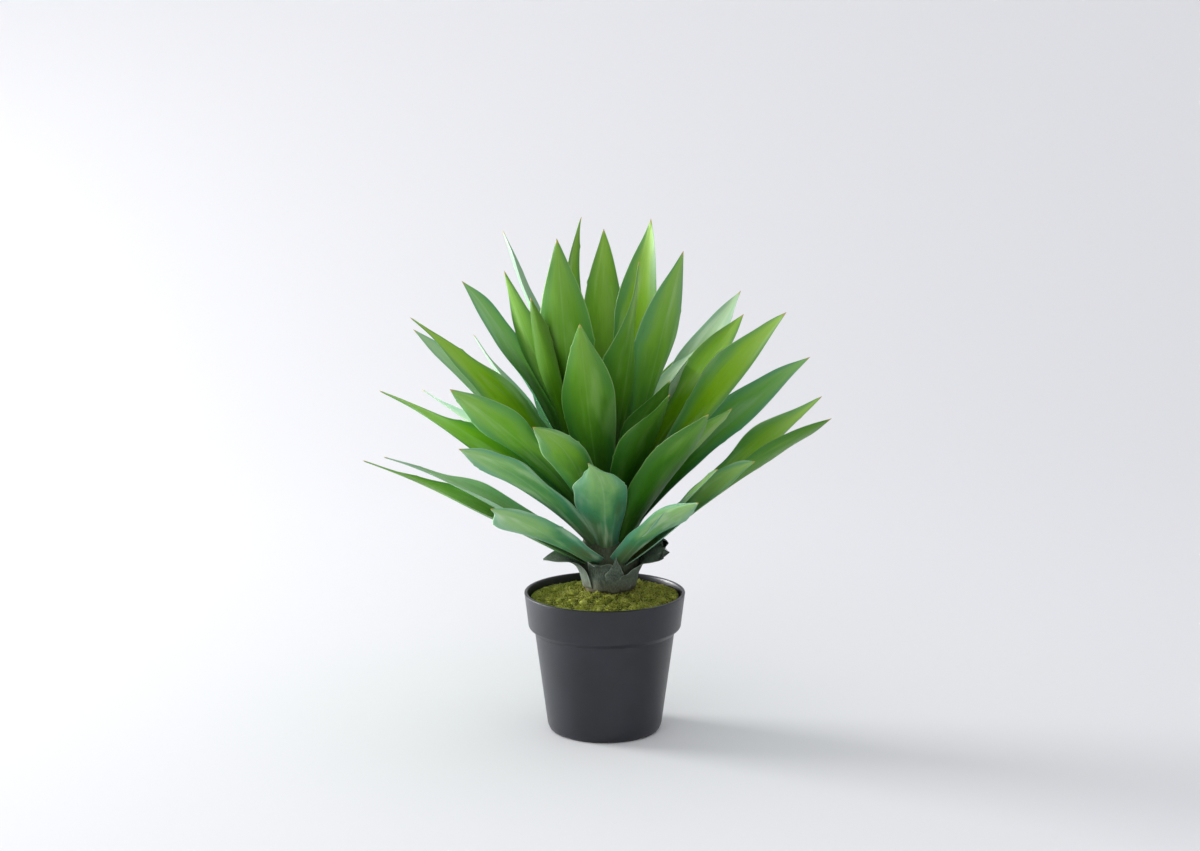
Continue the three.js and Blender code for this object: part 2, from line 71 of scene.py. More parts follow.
def pointing(compass: float, steepness: float) -> Array:
    """The unit vector that points in a compass direction at a steepness.

    Args:
        compass: degrees from +X, turning towards +Y.
        steepness: degrees above the horizontal.

    Returns:
        Three numbers of length one.
    """
    flat, rise = math.cos(math.radians(steepness)), math.sin(math.radians(steepness))
    turn = math.radians(compass)
    return np.array([flat * math.cos(turn), flat * math.sin(turn), rise])


def unit(vectors: Array) -> Array:
    """Rows of vectors, each brought to length one."""
    return vectors / np.linalg.norm(vectors, axis=-1, keepdims=True)


def smooth(value: Array, low: float, high: float) -> Array:
    """A soft step that is 0 below low, 1 above high and 3s^2 - 2s^3 between them."""
    share = np.clip((value - low) / (high - low), 0.0, 1.0)
    return share * share * (3.0 - 2.0 * share)


def between(ends: tuple | list, share: Array) -> Array:
    """What lies a share of the way, 0 to 1, from the first of two ends to the second."""
    return ends[0] * (1.0 - share) + ends[1] * share


def eased(values: Stations, along: Array) -> Array:
    """A value that starts at 1 and eases along a leaf through four stations.

    Args:
        values: the values at 0.25, 0.5, 0.75 and 0.95 of the length.
        along: where on the leaf, 0 to 1, in any shape.

    Returns:
        The value there, which follows a soft step from each station to the next.
    """
    total = np.ones_like(along)
    before, start = 1.0, 0.0
    for value, stop in zip(values, STATIONS):
        total += (value - before) * smooth(along, start, stop)
        before, start = value, stop
    return total


def srgb(code: str) -> Colour:
    """A screen colour such as "7a9e3a" as the linear numbers that shaders use."""
    parts = [int(code[i : i + 2], 16) / 255.0 for i in (0, 2, 4)]
    return tuple(p / 12.92 if p <= 0.04045 else ((p + 0.055) / 1.055) ** 2.4 for p in parts)


# --- Meshes ---


def new_piece(name: str, points: Array, quads: Array, triangles: Array) -> Piece:
    """A smooth-shaded mesh object at the origin.

    Args:
        name: the piece's name.
        points: one row of three numbers for each vertex, in metres.
        quads: one row of four vertex numbers for each four-sided face.
        triangles: one row of three vertex numbers for each three-sided face.

    Returns:
        The new object, linked to the scene.
    """
    mesh = bpy.data.meshes.new(name)
    corners = np.concatenate([quads.ravel(), triangles.ravel()]).astype(np.int32)
    sizes = np.concatenate([np.full(len(quads), 4), np.full(len(triangles), 3)]).astype(np.int32)
    starts = np.concatenate([[0], np.cumsum(sizes)[:-1]]).astype(np.int32)
    mesh.vertices.add(len(points))
    mesh.vertices.foreach_set("co", points.astype(np.float32).ravel())
    mesh.loops.add(len(corners))
    mesh.loops.foreach_set("vertex_index", corners)
    mesh.polygons.add(len(sizes))
    mesh.polygons.foreach_set("loop_start", starts)
    mesh.polygons.foreach_set("use_smooth", np.ones(len(sizes), dtype=bool))
    mesh.update(calc_edges=True)
    mesh.validate()
    piece = bpy.data.objects.new(name, mesh)
    bpy.context.scene.collection.objects.link(piece)
    return piece


def circle(count: int) -> Array:
    """Angles in radians that share a full turn evenly, from 0 on."""
    return np.arange(count) * 2.0 * np.pi / count


def round_axis(centre: Pair, radius: Array, angle: Array, height: Array) -> Array:
    """Points round an upright axis at a centre, by radius, angle in radians and height."""
    x, y = centre[0] + radius * np.cos(angle), centre[1] + radius * np.sin(angle)
    return np.stack([x, y, np.broadcast_to(height, x.shape)], axis=-1)


def ring_quads(rows: int, count: int) -> Array:
    """Faces between rings of points, pointing outwards when the rings are stacked towards their own
    counter-clockwise side.

    Args:
        rows: how many rings there are.
        count: how many points each ring has.

    Returns:
        One row of four point numbers for each face.
    """
    row, k = np.meshgrid(np.arange(rows - 1), np.arange(count), indexing="ij")
    after = (k + 1) % count
    corners = [row * count + k, row * count + after, (row + 1) * count + after, (row + 1) * count + k]
    return np.stack(corners, axis=-1).reshape(-1, 4)


def fan(centre: int, ring: Array) -> Array:
    """Triangles from one vertex to each side of a ring of vertices, in the ring's own order."""
    return np.stack([np.full(len(ring), centre), ring, np.roll(ring, -1)], axis=-1)


def tube_piece(name: str, rings: Array, first_end: Array, last_end: Array) -> Piece:
    """A closed surface over a stack of rings, drawn together to one point at each end.

    Args:
        name: the piece's name.
        rings: points in millimetres by ring, place in the ring and axis.
        first_end: the point that closes the first ring.
        last_end: the point that closes the last ring.

    Returns:
        The closed piece. Its last two vertices are the two ends.
    """
    rows, count = rings.shape[:2]
    points = np.concatenate([rings.reshape(-1, 3), [first_end, last_end]]) * MM
    first = fan(rows * count, np.arange(count)[::-1])
    last = fan(rows * count + 1, np.arange(count) + (rows - 1) * count)
    return new_piece(name, points, ring_quads(rows, count), np.concatenate([first, last]))


def turned_piece(name: str, profile: Array, sides: int, centre: Pair = (0.0, 0.0)) -> Piece:
    """A profile turned about the vertical: each [radius, height] goes round a full circle.

    Args:
        name: the piece's name.
        profile: rows of [radius, height] in millimetres, from the bottom of the axis, round the
            outside and back to the axis. Both ends lie on the axis.
        sides: how many points make a circle.
        centre: where the axis stands, in millimetres.

    Returns:
        The closed piece.
    """
    wall = profile[1:-1]
    rings = round_axis(centre, wall[:, :1], circle(sides), wall[:, 1:])
    first_end, last_end = ((*centre, height) for height in profile[[0, -1], 1])
    return tube_piece(name, rings, first_end, last_end)


def set_value(piece: Piece, name: str, values: Array) -> None:
    """Writes one number for each vertex, which a material can read by name."""
    attribute = piece.data.attributes.new(name, "FLOAT", "POINT")
    attribute.data.foreach_set("value", values.astype(np.float32).ravel())


def dress(piece: Piece, material: Material) -> None:
    """Gives a piece one material in place of whatever it has."""
    piece.data.materials.clear()
    piece.data.materials.append(material)


def finish_piece(piece: Piece, node: str, material: Material) -> None:
    """Dresses a piece and says which node it stands for.

    Args:
        piece: the new object.
        node: the frame's node that it replaces.
        material: its finish.
    """
    dress(piece, material)
    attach(piece, BODY)
    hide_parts(node)
    LOG.info("%s: %d vertices, for node %s", piece.name, len(piece.data.vertices), node)


# --- Material graphs ---


class Graph:
    """A short way of writing a material's nodes. Most methods add one node and return its output."""

    def __init__(self, name: str) -> None:
        """Starts a material that holds its output and its main shader.

        Args:
            name: the material's name.
        """
        self.material = bpy.data.materials.new(name)
        self.material.use_nodes = True
        self.tree = self.material.node_tree
        self.tree.nodes.clear()
        self.shader = self.tree.nodes.new("ShaderNodeBsdfPrincipled")
        output = self.tree.nodes.new("ShaderNodeOutputMaterial")
        self.tree.links.new(self.shader.outputs[0], output.inputs["Surface"])

    def plug(self, socket: Socket, value: object) -> None:
        """Links an output to a socket, or writes a value on it.

        Args:
            socket: the input that is filled.
            value: an output, a number, a vector or a colour.
        """
        if isinstance(value, Socket):
            self.tree.links.new(value, socket)
        elif isinstance(value, tuple) and len(value) == 3 and socket.type == "RGBA":
            socket.default_value = (*value, 1.0)
        else:
            socket.default_value = value

    def add(self, kind: str, inputs: dict, out: int | str = 0, **settings: object) -> Socket:
        """Adds one node.

        Args:
            kind: the node's type, without the "ShaderNode" that all of them begin with.
            inputs: what goes into its inputs, by their names or numbers.
            out: name or number of the output that is wanted.
            settings: the node's own settings by name.

        Returns:
            The wanted output.
        """
        node = self.tree.nodes.new("ShaderNode" + kind)
        for name, value in settings.items():
            setattr(node, name, value)
        for socket, value in inputs.items():
            self.plug(node.inputs[socket], value)
        return node.outputs[out]

    def attribute(self, name: str) -> Socket:
        """The number that the mesh carries under a name."""
        return self.add("Attribute", {}, "Fac", attribute_name=name)

    def place(self) -> Socket:
        """Where a point of the surface is, in metres in the piece's own frame."""
        return self.add("TexCoord", {}, "Object")

    def math(self, what: str, a: object, b: object = 0.0) -> Socket:
        """One sum, such as SUBTRACT or ABSOLUTE, of one or two numbers."""
        return self.add("Math", {0: a, 1: b}, operation=what)

    def times(self, a: object, b: object) -> Socket:
        """The product of two numbers."""
        return self.math("MULTIPLY", a, b)

    def plus(self, a: object, b: object) -> Socket:
        """The sum of two numbers."""
        return self.math("ADD", a, b)

    def vector(self, x: object, y: object, z: object) -> Socket:
        """Three numbers as one vector."""
        return self.add("CombineXYZ", {0: x, 1: y, 2: z})

    def stretched(self, place: object, scale: Point) -> Socket:
        """A place with each direction scaled by its own number."""
        return self.add("Mapping", {"Vector": place, "Scale": scale})

    def step(self, value: object, low: float, high: float, to: Pair = (0.0, 1.0)) -> Socket:
        """A soft step from to[0] where value is low to to[1] where it is high."""
        ends = dict(enumerate((low, high, *to), 1))
        return self.add("MapRange", {"Value": value, **ends}, interpolation_type="SMOOTHSTEP")

    def noise(self, place: object, scale: float, detail: float, roughness: float = 0.5) -> Socket:
        """Cloudy noise from 0 to 1, with scale clouds to each unit of place."""
        sizes = {"Scale": scale, "Detail": detail, "Roughness": roughness}
        return self.add("TexNoise", {"Vector": place, **sizes}, "Fac")

    def ramp(self, value: object, stops: list[tuple[float, Colour]]) -> Socket:
        """A colour that changes with a number, from stop to stop.

        Args:
            value: the number.
            stops: places from 0 to 1, each with its colour.

        Returns:
            The colour.
        """
        output = self.add("ValToRGB", {0: value})
        elements = output.node.color_ramp.elements
        while len(elements) < len(stops):
            elements.new(0.5)
        for element, (position, colour) in zip(elements, stops):
            element.position, element.color = position, (*colour, 1.0)
        return output

    def mix(self, share: object, a: object, b: object, blend: str = "MIX") -> Socket:
        """Colour a turned into colour b by a share, or blended with it."""
        return self.add("Mix", {0: share, 6: a, 7: b}, 2, data_type="RGBA", blend_type=blend)

    def bump(self, height: object, depth: float, strength: float) -> None:
        """Roughens the surface by a height, depth metres deep."""
        sizes = {"Distance": depth, "Strength": strength}
        self.plug(self.shader.inputs["Normal"], self.add("Bump", {**sizes, "Height": height}))

    def surface(self, colour: object, roughness: object, specular: float) -> Material:
        """Gives the shader its colour, roughness and shine.

        Args:
            colour: an output or a colour.
            roughness: an output or a number.
            specular: how strongly it mirrors light that falls straight on it.

        Returns:
            The finished material.
        """
        self.plug(self.shader.inputs["Base Color"], colour)
        self.plug(self.shader.inputs["Roughness"], roughness)
        self.shader.inputs["Specular IOR Level"].default_value = specular
        return self.material


# --- Finishes ---


@dataclass(frozen=True)
class LeafFinish:
    """The look of one kind of leaf. Its six screen colours are those of the root, the lower part, the
    middle, the tip, the margins and the pale rim. The dark root and lower part are partly the
    leaf's own colour and partly painted shade near the stem."""

    name: str
    colours: str
    margin_strength: float = 0.62
    # strength of the painted sheen: pale patches of the rim's colour that stand in for highlights
    sheen: float = 0.35
    roughness: float = 0.4
    # the dark root and lower colours are partly painted shade near the stem
    bands: Stations = (0.08, 0.34, 0.6, 0.92)  # where along the leaf its first four colours lie
    wander: Pair = (0.75, 0.9)  # how far large clouds shift the colours along and across the leaf
    back_share: float = 0.25  # how much of the margins' colour the back takes
    keel_share: float = 0.12  # how much of the rim's colour the keel line on the back takes
    rim_share: float = 0.6  # and the very edge
    point: Colour = srgb("b0a258")  # of the dry tip
    light: Colour = srgb("c8dc8a")  # of the streaks

    def make(self) -> Material:
        """Builds the material. The colour runs along the leaf from root to tip, wandering with
        large clouds, and turns to the margin's colour towards both sides; the dark root and lower
        part are partly painted shade. Fine streaks run the leaf's length, a painted sheen lies on it
        in long pale patches, the back is duller and has a faint keel line, the very edge is pale and
        the point is straw-coloured.

        Returns:
            The finished material.
        """
        root, lower, middle, tip, margin, rim = map(srgb, self.colours.split())
        g = Graph(self.name)
        across, along, back, seed = map(g.attribute, ("across", "along", "back", "seed"))
        aside = g.math("ABSOLUTE", across)
        lengthwise = g.vector(g.times(across, 5.0), g.times(along, 1.6), seed)
        streaks = g.noise(lengthwise, scale=6.0, detail=5.0, roughness=0.62)
        clouds = g.noise(g.vector(across, g.times(along, 3.0), seed), scale=1.3, detail=3.0)
        drift = g.math("SUBTRACT", clouds, 0.5)
        wander = g.plus(along, g.times(drift, self.wander[0]))
        # partly painted shade: the dark root and lower colours darken the leaf near the stem
        colour = g.ramp(wander, list(zip(self.bands, (root, lower, middle, tip))))
        edge = g.plus(aside, g.times(drift, self.wander[1]))
        colour = g.mix(g.times(g.step(edge, 0.35, 1.0), self.margin_strength), colour, margin)
        colour = g.mix(g.times(back, self.back_share), colour, margin)
        # painted sheen: long pale patches of the rim's colour stand in for highlights
        patches = g.vector(g.times(across, 0.9), g.times(along, 1.5), g.plus(seed, 29.0))
        painted_sheen = g.noise(patches, scale=1.9, detail=2.0)
        colour = g.mix(g.times(g.step(painted_sheen, 0.5, 0.72), self.sheen), colour, rim)
        colour = g.mix(g.step(streaks, 0.4, 0.75, to=(0.0, 0.3)), colour, self.light, "SOFT_LIGHT")
        colour = g.mix(g.step(streaks, 0.2, 0.45, to=(0.3, 0.0)), colour, lower, "MULTIPLY")
        keel = g.times(g.step(aside, 0.0, 0.06, to=(1.0, 0.0)), back)
        colour = g.mix(g.times(keel, self.keel_share), colour, rim)
        colour = g.mix(g.step(aside, 0.95, 1.0, to=(0.0, self.rim_share)), colour, rim)
        colour = g.mix(g.step(along, 0.972, 0.995), colour, self.point)
        shine = g.step(streaks, 0.3, 0.7, to=(self.roughness - 0.05, self.roughness + 0.08))
        g.bump(streaks, depth=0.0006, strength=0.35)
        return g.surface(colour, shine, specular=0.28)


class LeafTone(Enum):
    """The kinds of leaf on the plant. SHADED is a darker copy that paints shade on a leaf."""

    FRESH = LeafFinish("leaf_fresh", "365400 5c9000 86b81c 98c250 348460 bcdca4")
    OLIVE = LeafFinish("leaf_olive", "304c00 508000 6ca008 84b03a 34784a b0d48c", 0.5, 0.25)
    SAGE = LeafFinish("leaf_sage", "545c1c 3a7c40 88b860 a4cc78 529c84 cce4c0", 0.7, 0.4, 0.44)
    TEAL = LeafFinish("leaf_teal", "2f6404 468a1c 70ae50 86b86c 4a947c b0d4b4", 0.7)
    # partly painted light: paler colours that partly stand in for light shining through thin leaves and for
    # their sheen
    PALE = LeafFinish("leaf_pale", "48742a 6c9458 8cae80 9ebc94 78a88e c4d8c0", 0.6, 0.45, 0.44)
    DEEP = LeafFinish("leaf_deep", "2a5400 387400 4c8414 64962e 326e2c 8cb068", 0.6, 0.25)
    # painted shade: darker colours for a leaf that the lamps light directly
    SHADED = LeafFinish("leaf_shaded", "2a4400 365c00 487400 567e0c 3a6a20 80a048", 0.4, 0.15)


@dataclass(frozen=True)
class BarkFinish:
    """Dusty grey-green skin of the stem and its scales."""

    name: str
    body: Colour
    shade: Colour
    rim: Colour
    earthy: Colour
    ground: float = 0.158  # height of the moss beside the stem, in metres

    def make(self) -> Material:
        """Builds the material: cloudy grey-green with fine upright ribs, browner near the moss, and
        lighter on the outer edges of a scale, partly as a painted highlight.

        Returns:
            The finished material.
        """
        g = Graph(self.name)
        place = g.place()
        clouds = g.noise(place, scale=70.0, detail=4.0, roughness=0.6)
        ribs = g.noise(g.stretched(place, (1.0, 1.0, 0.22)), scale=900.0, detail=3.0, roughness=0.6)
        height = g.add("SeparateXYZ", {0: place}, "Z")
        colour = g.mix(g.step(clouds, 0.3, 0.7), self.shade, self.body)
        colour = g.mix(g.step(ribs, 0.35, 0.7, to=(0.0, 0.35)), colour, self.rim)
        low = g.step(height, self.ground - 0.012, self.ground + 0.016, to=(0.7, 0.0))
        colour = g.mix(low, colour, self.earthy)
        # lighter outer edges of a scale: partly the dry edge's own paler colour, partly a painted highlight
        lip = g.step(g.math("ABSOLUTE", g.attribute("across")), 0.86, 1.0, to=(0.0, 0.6))
        colour = g.mix(lip, colour, self.rim)
        g.bump(ribs, depth=0.0007, strength=0.6)
        return g.surface(colour, roughness=0.78, specular=0.25)


@dataclass(frozen=True)
class MossFinish:
    """Yellow-green moss, darkened in its hollows by painted shade and straw-coloured at its tips."""

    name: str
    hollow: Colour
    body: Colour
    tips: Colour

    def make(self) -> Material:
        """Builds the material: two sizes of cloudy noise pick between the three colours, and the
        number that the mesh carries as `lift` lightens what stands up and darkens what lies low,
        which paints shade into the hollows.

        Returns:
            The finished material.
        """
        g = Graph(self.name)
        place = g.place()
        patches = g.noise(place, scale=60.0, detail=3.0, roughness=0.6)
        specks = g.noise(place, scale=700.0, detail=3.0, roughness=0.7)
        # painted shade: lift darkens what lies low in the bed and lightens what stands up
        lift = g.attribute("lift")
        mixed = g.plus(g.times(specks, 0.5), g.times(patches, 0.3))
        mixed = g.plus(mixed, g.times(lift, 0.4))
        colour = g.ramp(mixed, [(0.33, self.hollow), (0.56, self.body), (0.84, self.tips)])
        g.bump(specks, depth=0.0015, strength=0.8)
        return g.surface(colour, roughness=0.92, specular=0.15)


@dataclass(frozen=True)
class PlasticFinish:
    """Charcoal moulded plastic with a faint fine grain."""

    name: str
    colour: Colour
    worn: Colour
    roughness: float

    def make(self) -> Material:
        """Builds the material: a near-black grey with faint clouds and a fine moulded grain.

        Returns:
            The finished material.
        """
        g = Graph(self.name)
        place = g.place()
        clouds = g.noise(place, scale=18.0, detail=3.0, roughness=0.6)
        grain = g.noise(place, scale=1400.0, detail=2.0, roughness=0.5)
        colour = g.mix(g.step(clouds, 0.35, 0.7), self.colour, self.worn)
        rough = g.step(grain, 0.3, 0.7, to=(self.roughness - 0.06, self.roughness + 0.08))
        g.bump(grain, depth=0.00025, strength=0.5)
        return g.surface(colour, rough, specular=0.55)


@dataclass(frozen=True)
class SoilFinish:
    """Dark crumbly growing medium."""

    name: str
    dark: Colour
    light: Colour

    def make(self) -> Material:
        """Builds the material: dark and light crumbs a few millimetres across.

        Returns:
            The finished material.
        """
        g = Graph(self.name)
        crumbs = g.noise(g.place(), scale=350.0, detail=4.0, roughness=0.7)
        g.bump(crumbs, depth=0.002, strength=0.8)
        colour = g.mix(g.step(crumbs, 0.4, 0.65), self.dark, self.light)
        return g.surface(colour, roughness=0.95, specular=0.1)


@dataclass(frozen=True)
class StudioPaint:
    """Plain matt paint of the floor."""

    name: str
    colour: Colour

    def make(self) -> Material:
        """Builds the material, one even colour."""
        return Graph(self.name).surface(self.colour, roughness=0.9, specular=0.1)


# --- Leaves ---


@dataclass(frozen=True)
class BladeForm:
    """What all blades of one kind share. Lengths are in millimetres and waves in radians."""

    root_depth: float = 4.0  # how deep the centre line starts inside the stem
    handle: float = 0.33  # the curve's handles, as a share of the straight root-to-tip distance
    widest: float = 0.62  # where along the blade it is widest
    neck: float = 0.42  # width at the root as a share of the widest
    cup: Pair = (0.45, 0.2)  # rise of the margins at root and tip, as a share of half the width
    thickness: Pair = (3.0, 1.3)  # at the root and at the tip
    edge_thinning: float = 0.45  # share of the thickness that is lost at the margins
    edge_power: float = 0.8  # roundness of the margins, where 1 gives the section of an ellipse
    rows: int = 76
    ring: int = 30  # points round each row
    row_easing: float = 0.06  # how much closer than evenly the rows lie at the tip
    ripple: float = 1.5  # waviness of the blade beside its margins
    ripple_waves: Pair = (8.0, 15.0)
    wobble: Pair = (0.35, 0.2)  # slow and fast swing of the margins' outline
    wobble_waves: Pair = (9.0, 23.0)
    spurs: int = 2
    spur_range: Pair = (0.45, 0.9)  # where along the blade they can be
    spur_height: float = 1.1
    spur_length: float = 0.009  # half of a spur's, as a share of the blade's
    tear_waves: Pair = (9.0, 23.0)  # of the notches in a torn tip, from margin to middle


LEAF_FORM = BladeForm()
CROWN_FORM = BladeForm(neck=0.34)
SCALE_FORM = BladeForm(
    root_depth=-1.4, handle=0.55, widest=0.45, neck=0.8, cup=(0.3, 0.12), thickness=(2.6, 1.6),
    rows=40, ring=44, ripple=0.9, spurs=0,
)


@dataclass(frozen=True)
class Blade:
    """One leaf or scale: where it leaves the stem, where its tip is and how it is turned."""

    turn: float  # compass direction in which it leaves the stem, 0 to the right and 270 to the viewer
    level: float  # height at which it does
    tip: Point
    lift: float  # steepness at the root
    head: float  # compass direction at the tip
    end: float  # steepness at the tip
    width: float
    roll: Pair = (0.0, 0.0)  # turn about its own line at root and tip
    tone: LeafTone = LeafTone.FRESH
    left: Stations = (1.0, 1.0, 1.0, 1.0)  # width of the left half, as a share of the rule's
    right: Stations = (1.0, 1.0, 1.0, 1.0)
    blunt: float = 1.4  # the higher, the squarer the tip
    tear: float = 0.0  # how far the tip's edge is torn back, as a share of the length


@dataclass
class Stem:
    """The thick foot of the plant, seen between the moss and the lowest leaves."""

    profile: tuple[Pair, ...] = (
        (60, 20), (75, 22), (150, 25), (164, 27.5), (180, 31), (190, 31),
        (205, 28), (222, 24), (240, 19), (258, 14), (275, 10), (300, 6),
    )  # height and radius
    sides: int = 96
    rows: int = 120
    dome: float = 2.0  # how far the top's middle stands above its rim
    ridge: float = 0.7  # depth of the old leaf scars
    scar_start: Pair = (140.0, 155.0)  # heights between which the scars set in
    finish: BarkFinish = BarkFinish(
        "stem_bark", srgb("4a523c"), srgb("363e2e"), srgb("6c7460"), srgb("5c4c30"),
    )

    def radius(self, height: Array | float) -> Array:
        """The stem's radius at a height, both in millimetres, by straight lines in its profile."""
        heights, radii = zip(*self.profile)
        return np.interp(height, heights, radii)

    def build(self) -> None:
        """Builds the stem: the profile turned about its axis, with slanting scars whose depth is
        a bent wave of height and angle, and a slower wave under them."""
        low, high = self.profile[0][0], self.profile[-1][0]
        height, angle = np.linspace(low, high, self.rows)[:, None], circle(self.sides)
        scars = np.sin(height / 3.4 + 1.3 * np.sin(2 * angle + 0.5) + 0.9 * np.sin(5 * angle))
        scars = scars * smooth(height, *self.scar_start)
        waves = np.sin(7 * angle + height / 11.0)
        radius = self.radius(height) + self.ridge * (0.6 * scars + 0.4 * waves)
        rings = round_axis(STEM_CENTRE, radius, angle, height)
        piece = tube_piece("stem_bark", rings, (*STEM_CENTRE, low), (*STEM_CENTRE, high + self.dome))
        set_value(piece, "across", np.zeros(len(piece.data.vertices)))
        finish_piece(piece, "stem", self.finish.make())


@dataclass
class BladeMaker:
    """Turns the few numbers of a Blade into a closed surface."""

    stem: Stem
    form: BladeForm
    golden: float = 0.618  # its multiples, wrapped into 0 to 1, lie well apart
    spread: float = 40.0  # length along which the blades read the noise of their finish

    def centre_line(self, blade: Blade, along: Array) -> tuple[Array, Array]:
        """Points and directions of the centre line, a cubic curve from inside the stem to the tip.

        Args:
            blade: the leaf or scale.
            along: where on the curve, 0 to 1, in any shape.

        Returns:
            The points in millimetres and the unit directions, each with a last axis of three.
        """
        radius = float(self.stem.radius(blade.level)) - self.form.root_depth
        root = pointing(blade.turn, 0) * radius + np.array([*STEM_CENTRE, blade.level])
        tip = np.array(blade.tip, float)
        reach = self.form.handle * np.linalg.norm(tip - root)
        leaving = root + reach * pointing(blade.turn, blade.lift)
        arriving = tip - reach * pointing(blade.head, blade.end)
        t = along[..., None]
        s = 1.0 - t
        points = s**3 * root + 3 * s**2 * t * leaving + 3 * s * t**2 * arriving + t**3 * tip
        ahead = 3 * s**2 * (leaving - root) + 6 * s * t * (arriving - leaving) + 3 * t**2 * (tip - arriving)
        return points, unit(ahead)

    def directions(self, blade: Blade, along: Array, ahead: Array) -> tuple[Array, Array]:
        """The directions across a blade and out of its upper face.

        The crosswise direction turns evenly from the root's to the tip's, is squared to the centre
        line, and is then rolled about it by an angle that eases from root to tip.

        Args:
            blade: the leaf or scale.
            along: where on the blade, 0 to 1, in any shape.
            ahead: the centre line's unit directions there.

        Returns:
            Unit vectors to the right and out of the upper face, each with a last axis of three.
        """
        t = along[..., None]
        across = between([np.cross(UP, pointing(compass, 0)) for compass in (blade.turn, blade.head)], t)
        across = unit(across - np.sum(across * ahead, axis=-1, keepdims=True) * ahead)
        face = np.cross(ahead, across)
        roll = np.radians(between(blade.roll, smooth(t, 0.0, 1.0)))
        return across * np.cos(roll) + face * np.sin(roll), face * np.cos(roll) - across * np.sin(roll)

    def width_share(self, along: Array, blunt: float) -> Array:
        """Width as a share of the full width: it swells smoothly from the neck to the widest point,
        then draws in to the tip by a power curve.

        Args:
            along: where on the blade, 0 to 1, in any shape.
            blunt: the power, which squares the tip as it grows.

        Returns:
            The share there, 0 to 1.
        """
        form = self.form
        low = form.neck + (1.0 - form.neck) * smooth(along, 0.0, form.widest) ** 0.75
        fall = np.clip((along - form.widest) / (1.0 - form.widest), 0.0, 1.0)
        return np.where(along < form.widest, low, 1.0 - fall**blunt)

    def margin_wobble(self, along: Array, across: Array, seed: int) -> Array:
        """Extra width of each margin: a slow and a fast wave, and a few small pointed spurs.

        Args:
            along: where on the blade, 0 to 1, in any shape.
            across: where between the margins, -1 to 1.
            seed: starts the random draws.

        Returns:
            Millimetres, in the shape of the two together.
        """
        form = self.form
        draw = np.random.default_rng(seed)
        slow, fast, _ = draw.uniform(0.0, 6.28, 3)
        wave = form.wobble[0] * np.sin(form.wobble_waves[0] * along + slow + across)
        wave = wave + form.wobble[1] * np.sin(form.wobble_waves[1] * along + fast * across)
        for _ in range(form.spurs):
            where, which = draw.uniform(*form.spur_range), draw.choice([-1.0, 1.0])
            spur = np.exp(-(((along - where) / form.spur_length) ** 2))
            wave = wave + form.spur_height * spur * (np.sign(across) == which)
        return wave * smooth(along, 0.0, 0.3) * (1.0 - smooth(along, 0.93, 1.0))

    def ripples(self, along: Array, across: Array, phase: Array) -> Array:
        """Rise and fall of a blade beside its margins: a long and a short wave, which grow with the
        square of across and fade out towards the root and the tip.

        Args:
            along: where on the blade, 0 to 1, in any shape.
            across: where between the margins, -1 to 1.
            phase: two angles in radians, where the waves begin.

        Returns:
            Millimetres, in the shape of the two together.
        """
        long, short = self.form.ripple_waves
        wave = np.sin(long * along + 1.6 * np.sign(across) + phase[0])
        wave = wave + 0.6 * np.sin(short * along + phase[1])
        fade = smooth(along, 0.15, 0.5) * (1.0 - smooth(along, 0.85, 1.0))
        return self.form.ripple * wave * across**2 * fade

    def build(self, name: str, blade: Blade, seed: int) -> Piece:
        """Builds the closed blade.

        Each row is a ring round the blade: across is the cosine of the ring's angle, and the
        thickness on both sides of the cupped middle surface is its sine, so the margins are round.

        Args:
            name: the piece's name.
            blade: the leaf or scale.
            seed: starts the random draws.

        Returns:
            The piece, with the numbers that its finish reads.
        """
        form = self.form
        draw = np.random.default_rng(seed)
        spread = np.linspace(0.0, 1.0, form.rows + 1)[:-1]
        row = spread * (1.0 + form.row_easing - form.row_easing * spread)
        across, above = np.cos(circle(form.ring))[None, :], np.sin(circle(form.ring))[None, :]
        phase = draw.uniform(0.0, 6.28, 2)
        coarse, fine = (np.sin(wave * across + draw.uniform(0, 6)) for wave in form.tear_waves)
        reach = 1.0 - blade.tear * (0.5 + 0.5 * (0.5 * coarse + 0.5 * fine))
        along = row[:, None] * reach
        centre, ahead = self.centre_line(blade, along)
        side, face = self.directions(blade, along, ahead)
        share = self.width_share(along, blade.blunt)
        sides = np.where(across > 0.0, eased(blade.right, along), eased(blade.left, along))
        half = blade.width / 2.0 * share * (1.0 + (sides - 1.0) * np.abs(across))
        half = half + self.margin_wobble(along, across, seed) * np.abs(across)
        cup = half * between(form.cup, along)
        thick = 0.5 * between(form.thickness, along) * (1.0 - form.edge_thinning * across**2)
        lens = thick * np.sign(above) * np.abs(above) ** form.edge_power
        rise = cup * across**2 + lens + self.ripples(along, across, phase)
        rings = centre + side * (half * across)[..., None] + face * rise[..., None]
        tip = self.centre_line(blade, np.array([1.0 - 0.5 * blade.tear]))[0][0]
        piece = tube_piece(name, rings, rings[0].mean(axis=0), tip)
        everywhere = np.ones_like(along)
        set_value(piece, "across", np.append(across * everywhere, [0.0, 0.0]))
        set_value(piece, "along", np.append(along, [0.0, 1.0]))
        set_value(piece, "back", np.append(smooth(-above, -0.05, 0.05) * everywhere, [0.0, 0.0]))
        set_value(piece, "seed", np.full(along.size + 2, (seed * self.golden) % 1.0 * self.spread))
        return piece


FRESH, OLIVE, SAGE = LeafTone.FRESH, LeafTone.OLIVE, LeafTone.SAGE
TEAL, PALE, DEEP, SHADED = LeafTone.TEAL, LeafTone.PALE, LeafTone.DEEP, LeafTone.SHADED

